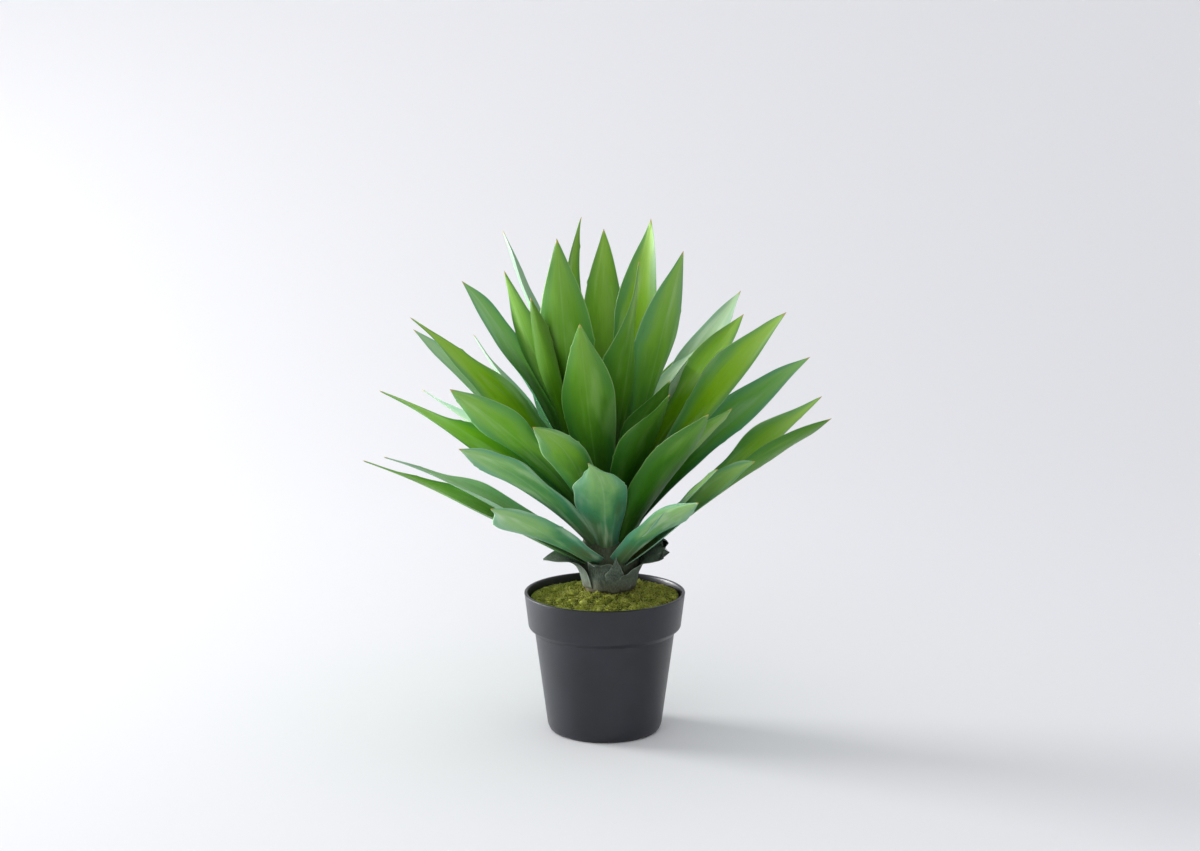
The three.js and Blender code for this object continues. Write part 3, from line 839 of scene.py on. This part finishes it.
# turn, level, tip, lift, head, end, width, roll, tone
CROWN = [
    Blade(188, 292, (-24, 0, 548), 70, 182, 108, 34, (-20, -30), OLIVE),
    Blade(92, 280, (-1, 75, 526), 82, 88, 74, 48, (0, 0), OLIVE, left=(1, 0.9, 0.85, 1)),
    Blade(72, 266, (48, 25, 543), 82, 42, 84, 54, (10, 12), FRESH,
          left=(0.8, 0.8, 0.9, 1), right=(0.8, 0.7, 0.95, 1)),
    Blade(218, 258, (-48, -110, 540), 61, 250, 76, 57, (15, 12), OLIVE, left=(1.5, 1.4, 1.05, 1)),
    Blade(282, 272, (34, -95, 516), 62, 284, 76, 48, (0, 65), OLIVE,
          left=(1.1, 1.35, 1.2, 1), right=(1, 0.8, 0.2, 0.3)),
    Blade(334, 258, (80, -40, 518), 70, 326, 72, 58, (-10, -15), FRESH, right=(1, 1.15, 1.2, 1.1)),
    Blade(142, 260, (-108, 85, 523), 65, 144, 69, 48, (26, 34), PALE,
          left=(0.5, 0.3, 1.2, 2), right=(0.8, 0.8, 1.2, 1.5)),
    Blade(202, 266, (-103, -34, 497), 59, 197, 73, 48, (15, 30), OLIVE, left=(1.3, 1.3, 1.1, 1)),
    # painted shade: this leaf takes the darker SHADED colours
    Blade(218, 246, (-75, -82, 477), 58, 225, 73, 50, (0, 0), SHADED, right=(0.6, 0.5, 0.6, 1)),
    Blade(34, 258, (96, 60, 398), 76, 28, 42, 48, (-15, -15), PALE),
]
UPPER = [
    Blade(252, 240, (-25, -145, 460), 57, 262, 58, 54, (0, 0), OLIVE, left=(1.3, 1.15, 0.92, 0.95)),
    Blade(182, 240, (-148, -5, 482), 64, 192, 50, 56, (-20, -50), TEAL,
          left=(0.9, 0.7, 0.65, 0.9), right=(0.6, 0.55, 0.9, 1.1)),
    Blade(40, 238, (146, 100, 456), 62, 36, 48, 50, (-10, 5), PALE,
          left=(1, 1.2, 1.35, 1.2), right=(1, 0.9, 1, 1)),
    Blade(6, 246, (146, 35, 441), 60, 8, 54, 54, (15, 35), OLIVE, right=(0.6, 0.65, 1, 1)),
    Blade(304, 244, (66, -80, 391), 68, 305, 50, 44, (0, 0), DEEP),
    Blade(78, 234, (40, 130, 448), 58, 74, 60, 48, (0, 0), FRESH),
    Blade(110, 246, (-40, 125, 450), 66, 108, 56, 46, (0, 0), TEAL),
]
MIDDLE = [
    Blade(332, 226, (183, -80, 461), 54, 336, 46, 60, (25, 58), FRESH, right=(1, 0.9, 1.1, 1.1)),
    Blade(206, 228, (-197, -80, 456), 57, 203, 38, 56, (-50, -42), FRESH,
          left=(1, 0.9, 0.5, 0.2), right=(1.3, 1.9, 1, 0.15)),
    Blade(172, 226, (-202, 40, 424), 50, 171, 40, 50, (-10, -20), PALE, right=(1, 0.8, 0.9, 1)),
    Blade(138, 232, (-143, 140, 402), 42, 138, 48, 48, (32, 30), PALE),
    Blade(228, 220, (-153, -160, 397), 52, 232, 30, 58, (20, 35), FRESH,
          left=(0.8, 0.75, 1, 1.05), right=(0.6, 0.5, 0.9, 1.05)),
    Blade(287, 224, (64, -165, 393), 56, 292, 38, 52, (10, 25), DEEP),
    Blade(313, 220, (126, -150, 376), 50, 308, 38, 52, (0, 0), OLIVE),
    Blade(354, 216, (213, -10, 403), 54, 358, 34, 56, (35, 40), TEAL, right=(0.75, 0.75, 0.75, 0.9)),
    Blade(247, 212, (-71, -190, 365), 54, 235, 22, 44, (10, 35), FRESH,
          left=(1, 1.1, 1.2, 1.4), right=(0.8, 0.75, 0.85, 1)),
    Blade(92, 226, (8, 190, 410), 56, 90, 46, 52, (0, 0), FRESH),
    Blade(58, 224, (95, 170, 380), 56, 58, 34, 52, (0, 0), OLIVE),
    Blade(118, 220, (-85, 180, 380), 46, 118, 40, 52, (0, 0), TEAL),
]
LOWER = [
    Blade(300, 206, (101, -200, 380), 48, 298, 38, 56, (0, 0), DEEP),
    Blade(194, 209, (-231, -60, 377), 48, 196, 27, 56, (-45, -20), FRESH,
          left=(1, 0.95, 0.5, 0.35), right=(1, 1, 0.8, 0.5)),
    Blade(146, 208, (-200, 140, 341), 38, 148, 24, 48, (30, 30), PALE),
    Blade(264, 200, (-17, -200, 331), 50, 250, 26, 56, (0, 10), SAGE,
          left=(1.6, 1.2, 0.65, 0.4), right=(1, 0.85, 0.6, 0.2), blunt=2),
    Blade(228, 203, (-144, -180, 341), 45, 232, 20, 54, (15, 35), SAGE, right=(0.7, 0.5, 0.6, 0.9)),
    Blade(10, 192, (229, 30, 354), 34, 6, 40, 48, (30, 20), FRESH,
          left=(1, 0.8, 0.8, 0.9), right=(0.5, 0.7, 1.3, 1.4)),
    Blade(344, 189, (233, -50, 346), 40, 346, 30, 48, (-40, -35), DEEP,
          left=(0.5, 0.5, 0.8, 1), right=(0.2, 0.3, 1, 1.5)),
    Blade(42, 208, (174, 170, 313), 38, 44, 14, 44, (0, 0), TEAL),
    Blade(240, 184, (-113, -190, 283), 26, 238, 20, 50, (10, 35), SAGE,
          left=(1, 1.2, 1.5, 0.9), right=(0.8, 0.6, 0.7, 0.9)),
    Blade(290, 184, (92, -190, 289), 36, 294, 18, 50, (-10, -25), SAGE,
          left=(0.7, 0.5, 0.45, 0.6), right=(1, 1.1, 0.9, 0.8)),
    Blade(306, 190, (111, -180, 321), 34, 298, 34, 48, (30, 40), SAGE,
          left=(1, 1.1, 1.2, 1.2), right=(0.6, 0.6, 0.6, 0.9)),
    Blade(320, 186, (150, -140, 320), 35, 316, 27, 52, (45, 48), SAGE,
          left=(1, 1.1, 1.1, 1.1), right=(0.5, 0.6, 0.7, 1)),
    Blade(188, 181, (-249, -60, 304), 28, 196, 22, 54, (-20, 0), OLIVE,
          left=(1, 1, 0.5, 0.4), right=(1, 1, 0.5, 0.4)),
    Blade(206, 186, (-225, -90, 314), 33, 204, 20, 54, (-30, 0), PALE,
          left=(1, 1, 0.5, 0.4), right=(1, 1, 0.5, 0.4)),
    Blade(74, 212, (55, 225, 352), 50, 76, 24, 52, (0, 0), FRESH),
    Blade(56, 196, (110, 205, 300), 40, 58, 14, 50, (0, 0), TEAL),
    Blade(128, 192, (-115, 195, 296), 40, 126, 14, 50, (0, 0), OLIVE),
    Blade(96, 196, (-20, 245, 300), 40, 96, 12, 52, (0, 0), SAGE),
]
SCALES = [
    Blade(280, 153, (12, -39, 197), 76, 278, 68, 20, blunt=1.1),
    Blade(310, 155, (40, -26, 187), 74, 330, 50, 26, blunt=1.1),
    Blade(250, 155, (-9, -43, 186), 78, 250, -8, 30, blunt=3, tear=0.1),
    Blade(190, 156, (-67, -8, 186), 80, 184, -8, 46, (0, -6), blunt=2.6, tear=0.05),
    Blade(356, 156, (72, -6, 198), 80, 352, 8, 48, (0, 28), blunt=7, tear=0.24),
    Blade(54, 156, (44, 50, 184), 78, 54, 6, 44, blunt=2, tear=0.1),
    Blade(122, 156, (-26, 56, 182), 78, 122, 4, 46, blunt=2, tear=0.1),
]
TIERS = {
    "leaf_crown": (CROWN_FORM, CROWN),
    "leaf_upper": (LEAF_FORM, UPPER),
    "leaf_middle": (LEAF_FORM, MIDDLE),
    "leaf_lower": (LEAF_FORM, LOWER),
}


@dataclass
class Rosette:
    """All the leaves, tier by tier, from the crown down."""

    stem: Stem

    def build(self) -> None:
        """Builds every leaf and dresses it. The leaves' seeds count on from tier to tier."""
        materials = {tone: tone.value.make() for tone in LeafTone}
        seed = 0
        for tier, (form, blades) in TIERS.items():
            maker = BladeMaker(self.stem, form)
            for number, blade in enumerate(blades, 1):
                seed += 1
                node = f"{tier}_{number}"
                piece = maker.build(f"{node}_blade", blade, seed)
                finish_piece(piece, node, materials[blade.tone])


@dataclass
class Collar:
    """The old scales round the stem's foot."""

    stem: Stem
    first_seed: int = 201
    finish: BarkFinish = BarkFinish(
        "scale_skin", srgb("5a685c"), srgb("3e4a40"), srgb("96a290"), srgb("5c5038"),
    )

    def build(self) -> None:
        """Builds every scale and dresses it."""
        maker = BladeMaker(self.stem, SCALE_FORM)
        material = self.finish.make()
        for number, blade in enumerate(SCALES, 1):
            piece = maker.build(f"scale_{number}_skin", blade, self.first_seed + number - 1)
            finish_piece(piece, f"scale_{number}", material)


# --- Moss, growing medium and pot ---


@dataclass
class Moss:
    """A lumpy bed of moss with thousands of short fibres standing on it. Lengths are in millimetres."""

    radius: float = 78.0
    rim_height: float = 150.0  # of the pot
    soil_top: float = 134.3
    edge_drop: float = 5.2  # how far the moss's edge lies below the pot's rim
    edge_tilt: float = 2.2  # how much lower it is on its low side
    low_side: float = 130.0  # compass direction of that side, in degrees
    mound: float = 9.0
    lump: float = 1.3
    underside: float = 0.985  # radius of the underside as a share of the bed's
    tuft_waves: tuple[Pair, ...] = ((26.0, 1.5), (14.0, 0.9), (7.0, 0.5), (3.6, 0.35), (2.0, 0.25))
    tuft_directions: int = 5  # how many waves of each length and depth cross one another
    tuft_bend: Pair = (1.2, 2.3)  # how far their crests bend, in radians, and over how many lengths
    rows: int = 150
    sides: int = 360
    lift_scale: float = 4.0  # height of a tuft that lifts its tone by 1
    fibres: int = 14000
    fibre_length: Pair = (1.8, 5.0)
    fibre_depth: float = 0.5  # how deep in the bed a fibre starts
    fibre_bend: float = 0.55  # where it bends, as a share of its length
    # painted shade darkens a fibre's root in the bed; its paler tip is partly the moss's own colour
    fibre_tones: Point = (-0.3, 0.1, 0.4)  # lift of its tone at the root, the bend and the tip
    fibre_tilt: Pair = (0.35, 1.4)  # from upright, in radians
    fibre_thickness: Pair = (0.32, 0.24)  # from its axis to its edges, at the root and the bend
    fibre_droop: float = 0.35  # how far the tip sinks, as a share of the length
    edge_clearance: float = 0.8  # no fibre grows nearer to the bed's edge
    stem_clearance: float = 26.5  # nor nearer to the stem's axis
    turn_in: Pair = (70.0, 78.0)  # distances over which fibres turn from the pot's wall
    seed: int = 11
    finish: MossFinish = MossFinish("moss_fibre", srgb("2e3408"), srgb("b2b846"), srgb("f6eeae"))

    def mound_height(self, x: Array, y: Array) -> Array:
        """Height of the moss without its tufts.

        Args:
            x: places to the right.
            y: places to the back.

        Returns:
            A soft mound, lowest at the back left, with two shallow waves for the large lumps.
        """
        share, angle = np.hypot(x, y) / self.radius, np.arctan2(y, x)
        compass = angle - math.radians(self.low_side)
        edge = self.rim_height - self.edge_drop - self.edge_tilt * np.cos(compass)
        mound = self.mound * np.clip(1.0 - share, 0.0, 1.0) ** 1.3
        lumps = np.sin(3 * angle + 4 * share) + np.sin(5 * angle + 0.7 - 7 * share)
        return edge + mound + self.lump * lumps * 0.5 * (1.0 - 0.5 * share)

    def tufts(self, x: Array, y: Array) -> Array:
        """Small lumps about a mean of 0: waves in many directions, each layer shorter and lower
        than the last, folded at 0 so that sharp creases part round tufts.

        Args:
            x: places to the right.
            y: places to the back.

        Returns:
            The lumps' heights there.
        """
        draw = np.random.default_rng(self.seed)
        total = np.zeros_like(x)
        swing, lengths = self.tuft_bend
        for length, depth in self.tuft_waves:
            layer = np.zeros_like(x)
            for _ in range(self.tuft_directions):
                turn, phase = draw.uniform(0.0, np.pi), draw.uniform(0.0, 2.0 * np.pi, 2)
                along = x * np.cos(turn) + y * np.sin(turn)
                aside = y * np.cos(turn) - x * np.sin(turn)
                bend = swing * np.sin(aside * 2.0 * np.pi / (length * lengths) + phase[1])
                layer += np.sin(along * 2.0 * np.pi / length + phase[0] + bend)
            total += depth * (np.abs(layer) / 2.2 - 0.57)  # a folded layer over 2.2 has a mean of 0.57
        return total

    def bed_height(self, x: Array, y: Array) -> Array:
        """The finished height of the bed: the mound with its tufts, which are lower at the rim."""
        tufts = self.tufts(x, y) * (1.0 - smooth(np.hypot(x, y) / self.radius, 0.94, 1.0) * 0.7)
        return self.mound_height(x, y) + tufts

    def build_bed(self, material: Material) -> None:
        """Builds the bed: rings from its underside up to the edge, then in to the middle.

        Args:
            material: the moss's finish.
        """
        share = np.linspace(0.0, 1.0, self.rows + 1)[:0:-1, None]
        angle = circle(self.sides)
        x, y = self.radius * share * np.cos(angle), self.radius * share * np.sin(angle)
        top = np.stack([x, y, self.bed_height(x, y)], axis=-1)
        under = top[:1] * (self.underside, self.underside, 0.0) + UP * self.soil_top
        rings = np.concatenate([under, top])
        base, peak = UP * self.soil_top, UP * self.bed_height(np.zeros(1), np.zeros(1))
        piece = tube_piece("moss_bed", rings, base, peak)
        x, y, z = np.concatenate([rings.reshape(-1, 3), [base, peak]]).T
        # lift: the tufts' height over the mound, which the finish turns into painted shade in the hollows
        set_value(piece, "lift", np.clip((z - self.mound_height(x, y)) / self.lift_scale, -0.4, 0.6))
        finish_piece(piece, "moss", material)

    def build_fibres(self, material: Material) -> None:
        """Builds the fibres: each is a bent three-sided spike with three points at its root, three
        at its bend and its tip, leaning a random way out of the bed. All are worked out at once.

        Args:
            material: the moss's finish.
        """
        draw = np.random.default_rng(self.seed + 1)
        distance = (self.radius - self.edge_clearance) * np.sqrt(draw.uniform(0.0, 1.0, self.fibres))
        angle = draw.uniform(0.0, 2.0 * np.pi, self.fibres)
        x, y = distance * np.cos(angle), distance * np.sin(angle)
        clear = np.hypot(x - STEM_CENTRE[0], y - STEM_CENTRE[1]) > self.stem_clearance
        x, y, distance = x[clear], y[clear], distance[clear]
        count = len(x)
        root = np.stack([x, y, self.bed_height(x, y) - self.fibre_depth], axis=-1)
        way, tilt = draw.uniform(0.0, 2.0 * np.pi, count), draw.uniform(*self.fibre_tilt, count)
        out = np.stack([np.sin(tilt) * np.cos(way), np.sin(tilt) * np.sin(way), np.cos(tilt)], axis=-1)
        near, wall = self.turn_in
        inward = np.clip((distance - near) / (wall - near), 0.0, 1.0)[:, None]
        out[:, :2] -= inward * root[:, :2] / self.radius * 0.9
        length = draw.uniform(*self.fibre_length, count)[:, None]
        middle = root + out * length * self.fibre_bend
        tip = root + out * length - UP * self.fibre_droop * length
        side = unit(np.cross(out, UP) + 1e-6)
        other = unit(np.cross(out, side))
        corners = [
            centre + thick * (np.cos(turn) * side + np.sin(turn) * other)
            for centre, thick in zip((root, middle), self.fibre_thickness)
            for turn in circle(3)
        ]
        points = np.stack([*corners, tip], axis=1)
        base = (np.arange(count) * points.shape[1])[:, None]
        quads = np.concatenate([base + np.array([k, (k + 1) % 3, 3 + (k + 1) % 3, 3 + k]) for k in range(3)])
        spikes = [base + np.array([3 + k, 3 + (k + 1) % 3, 6]) for k in range(3)]
        triangles = np.concatenate([*spikes, base + np.array([2, 1, 0])])
        piece = new_piece("moss_fibres", points.reshape(-1, 3) * MM, quads, triangles)
        tones = np.repeat(self.fibre_tones, (3, 3, 1))
        set_value(piece, "lift", draw.uniform(0.0, 0.6, count)[:, None] + tones)
        finish_piece(piece, "moss", material)

    def build(self) -> None:
        """Builds the bed and the fibres in one finish."""
        material = self.finish.make()
        self.build_bed(material)
        self.build_fibres(material)


@dataclass
class Pot:
    """A round moulded nursery pot with a deep rim band. Lengths are in millimetres."""

    height: float = 150.0
    rim_radius: float = 85.0
    band_foot: Pair = (80.6, 113.0)  # radius and height of the rim band's lower edge
    shoulder: Pair = (74.0, 107.0)  # and of the body's upper end
    heel: Pair = (60.6, 6.5)  # and of its lower end
    foot_radius: float = 53.0
    foot_inner: float = 49.0
    pad_radius: float = 22.0
    groove: float = 3.0
    floor: float = 5.8
    wall: float = 2.5
    lip: float = 3.5
    sides: int = 240
    corner_steps: int = 6  # points in each rounded corner of the section
    hole_radius: float = 5.0
    hole_circle: float = 36.0
    holes: int = 6
    drill_reach: float = 9.0  # how far a drill goes above and below the ground
    notches: int = 4
    notch_half: Pair = (6.0, 1.6)  # half the width of a notch, and its depth
    finish: PlasticFinish = PlasticFinish("pot_charcoal", srgb("14161e"), srgb("1b1d27"), 0.36)

    def rounded(self, corners: list[Point]) -> Array:
        """A profile whose corners are rounded.

        Args:
            corners: [radius, height, rounding] of each corner in millimetres.

        Returns:
            Rows of [radius, height]. Each rounding is a curve of second degree that touches both
            sides at its own distance from the corner, or nearer on short sides.
        """
        points = [np.array(corners[0][:2], float)]
        for trio in zip(corners, corners[1:], corners[2:]):
            before, here, after = (np.array(corner[:2], float) for corner in trio)
            sides = (before - here, after - here)
            reach = min(trio[1][2], *(0.45 * np.linalg.norm(side) for side in sides))
            start, stop = (here + unit(side) * reach for side in sides)
            for t in np.linspace(0.0, 1.0, self.corner_steps):
                points.append((1 - t) ** 2 * start + 2 * t * (1 - t) * here + t**2 * stop)
        points.append(np.array(corners[-1][:2], float))
        return np.array(points)

    def profile(self) -> Array:
        """The pot's section from the middle of its underside, up the outside and down the inside.

        Returns:
            Rows of [radius, height].
        """
        band_r, band_z = self.band_foot
        neck_r, neck_z = self.shoulder
        heel_r, heel_z = self.heel
        corners = [
            (0, 0, 0),
            (self.pad_radius, 0, 0.6),
            (self.pad_radius + self.groove, self.groove, 0.8),
            (self.foot_inner - self.groove, self.groove, 0.8),
            (self.foot_inner, 0, 0.6),
            (self.foot_radius + 4.5, 0, 5.0),
            (heel_r, heel_z, 4.0),
            (neck_r, neck_z, 1.2),
            (band_r, band_z, 1.6),
            (self.rim_radius - 0.2, self.height - 2.2, 0.6),
            (self.rim_radius, self.height - 0.4, 1.2),
            (self.rim_radius - 1.2, self.height, 0.9),
            (self.rim_radius - self.lip + 0.3, self.height, 1.0),
            (self.rim_radius - self.lip - 0.2, self.height - 2.0, 0.8),
            (band_r - self.wall, band_z + 1.2, 1.5),
            (neck_r - self.wall, neck_z + 1.2, 1.5),
            (heel_r - self.wall, self.floor + self.wall, 1.5),
            (heel_r - 2 * self.wall, self.floor, 1.5),
            (0, self.floor, 0),
        ]
        return self.rounded(corners)

    def cutters(self) -> list[Piece]:
        """Drills for the drain holes and bars for the notches in the foot ring.

        Returns:
            The closed solids that are cut from the pot.
        """
        made = []
        reach = self.drill_reach
        drill = np.array([[0, -reach], [self.hole_radius, -reach], [self.hole_radius, reach], [0, reach]])
        for k in range(self.holes):
            x, y, _ = pointing(k * 360.0 / self.holes, 0) * self.hole_circle
            made.append(turned_piece(f"drill_{k}", drill, 32, (x, y)))
        near, far = self.foot_inner - self.groove, self.rim_radius
        half, depth = self.notch_half
        for k in range(self.notches):
            ahead = pointing((k + 0.5) * 360.0 / self.notches, 0)
            side = np.cross(UP, ahead)
            corners = ((near, -half), (far, -half), (far, half), (near, half))
            flat = [ahead * out + side * aside for out, aside in corners]
            box = np.array([point + UP * z for z in (-depth, depth) for point in flat]) * MM
            sides = [[0, 1, 5, 4], [1, 2, 6, 5], [2, 3, 7, 6], [3, 0, 4, 7], [0, 3, 2, 1], [4, 5, 6, 7]]
            made.append(new_piece(f"notch_{k}", box, np.array(sides), NO_TRIANGLES))
        return made

    def build(self) -> None:
        """Builds the turned pot and cuts its drain holes and foot notches."""
        pot = turned_piece("pot_shell", self.profile(), self.sides)
        for cutter in self.cutters():
            cut = pot.modifiers.new(cutter.name, "BOOLEAN")
            cut.operation, cut.solver, cut.object = "DIFFERENCE", "EXACT", cutter
        graph = bpy.context.evaluated_depsgraph_get()
        done = bpy.data.meshes.new_from_object(pot.evaluated_get(graph))
        cutters = [m.object for m in pot.modifiers]
        pot.modifiers.clear()
        pot.data = done
        for cutter in cutters:
            bpy.data.objects.remove(cutter)
        finish_piece(pot, "pot", self.finish.make())


@dataclass
class Soil:
    """The growing medium, seen only through the drain holes."""

    finish: SoilFinish = SoilFinish("soil_crumb", srgb("241a12"), srgb("4a3826"))

    def dress(self) -> None:
        """Gives the frame's own soil node its finish."""
        dress(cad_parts["soil"], self.finish.make())
        LOG.info("soil: the frame's own node, dressed")


# --- Studio ---


@dataclass(frozen=True)
class Softbox:
    """One broad lamp: where it stands, what it faces, its size and its power."""

    name: str
    place: Point
    aim: Point
    size: Pair
    watts: float

    def build(self) -> None:
        """Makes the lamp and turns its face to its aim. It isn't itself in the picture."""
        light = bpy.data.lights.new(self.name, "AREA")
        light.shape = "RECTANGLE"
        light.size, light.size_y = self.size
        light.energy = self.watts
        lamp = bpy.data.objects.new(self.name, light)
        bpy.context.scene.collection.objects.link(lamp)
        lamp.location = self.place
        lamp.rotation_euler = (Vector(self.aim) - Vector(self.place)).to_track_quat("-Z", "Y").to_euler()
        lamp.visible_camera = False


@dataclass
class Studio:
    """A pale sweep of floor and backdrop, soft light from the left and above, and the camera."""

    camera_place: Point = (-0.005, -2.9, 0.908)
    camera_pitch: float = 11.3  # degrees down
    image_width: float = 1200.0
    focal_pixels: float = 2830.0
    sensor: float = 36.0
    sweep_front: float = -9.0
    sweep_start: float = 1.0  # how far behind the pot the floor begins to rise
    sweep_back: float = 7.0
    sweep_bend: float = 2.8
    sweep_half: float = 9.0
    paint: StudioPaint = StudioPaint("sweep_paint", (0.85, 0.848, 0.868))
    sky: Colour = (0.96, 0.97, 1.0)
    sky_strength: float = 0.74
    softboxes: tuple[Softbox, ...] = (
        Softbox("window", (-1.9, 0.6, 1.05), (0.0, 0.0, 0.25), (1.1, 1.3), 4.0),
        Softbox("low_window", (-3.5, 1.1, 0.5), (-0.4, -1.4, 0.0), (1.6, 0.8), 240.0),
        Softbox("front", (-0.6, -2.6, 2.2), (0.0, 0.0, 0.2), (2.0, 1.6), 9.0),
        Softbox("backdrop", (-3.4, 1.8, 1.8), (0.2, 3.4, 0.3), (2.0, 2.0), 10.0),
    )

    def build(self) -> None:
        """Builds the sweep, the lights and the camera."""
        self.build_sweep()
        world = bpy.data.worlds.new("studio_sky")
        world.use_nodes = True
        background = world.node_tree.nodes["Background"]
        background.inputs["Color"].default_value = (*self.sky, 1.0)
        background.inputs["Strength"].default_value = self.sky_strength
        bpy.context.scene.world = world
        for softbox in self.softboxes:
            softbox.build()
        self.add_camera()

    def build_sweep(self) -> None:
        """Builds the floor that rises behind the pot, as the square of the distance past its start."""
        y = np.concatenate([[self.sweep_front], np.linspace(self.sweep_start, self.sweep_back, 60)])
        z = np.clip(y - self.sweep_start, 0.0, None) ** 2 / (2.0 * self.sweep_bend)
        side = np.full_like(y, self.sweep_half)
        rows = np.stack([np.stack([-side, y, z], axis=-1), np.stack([side, y, z], axis=-1)], axis=1)
        k = np.arange(len(y) - 1)[:, None] * 2
        faces = k + np.array([0, 1, 3, 2])
        floor = new_piece("studio_sweep", rows.reshape(-1, 3), faces, NO_TRIANGLES)
        dress(floor, self.paint.make())

    def add_camera(self) -> None:
        """The camera at the photograph's place and angle."""
        lens = bpy.data.cameras.new("camera")
        lens.sensor_width = self.sensor
        lens.lens = self.focal_pixels / self.image_width * self.sensor
        lens.clip_end = 200.0
        camera = bpy.data.objects.new("camera", lens)
        bpy.context.scene.collection.objects.link(camera)
        camera.location = self.camera_place
        camera.rotation_euler = (math.radians(90.0 - self.camera_pitch), 0.0, 0.0)
        bpy.context.scene.camera = camera
        bpy.context.scene.view_settings.view_transform = "Standard"


def main() -> None:
    """Builds the studio and then the object from the pot up."""
    logging.basicConfig(level=logging.INFO, format="%(name)s: %(message)s")
    Studio().build()
    Pot().build()
    Soil().dress()
    Moss().build()
    stem = Stem()
    stem.build()
    Collar(stem).build()
    Rosette(stem).build()


if __name__ == "__main__":
    main()
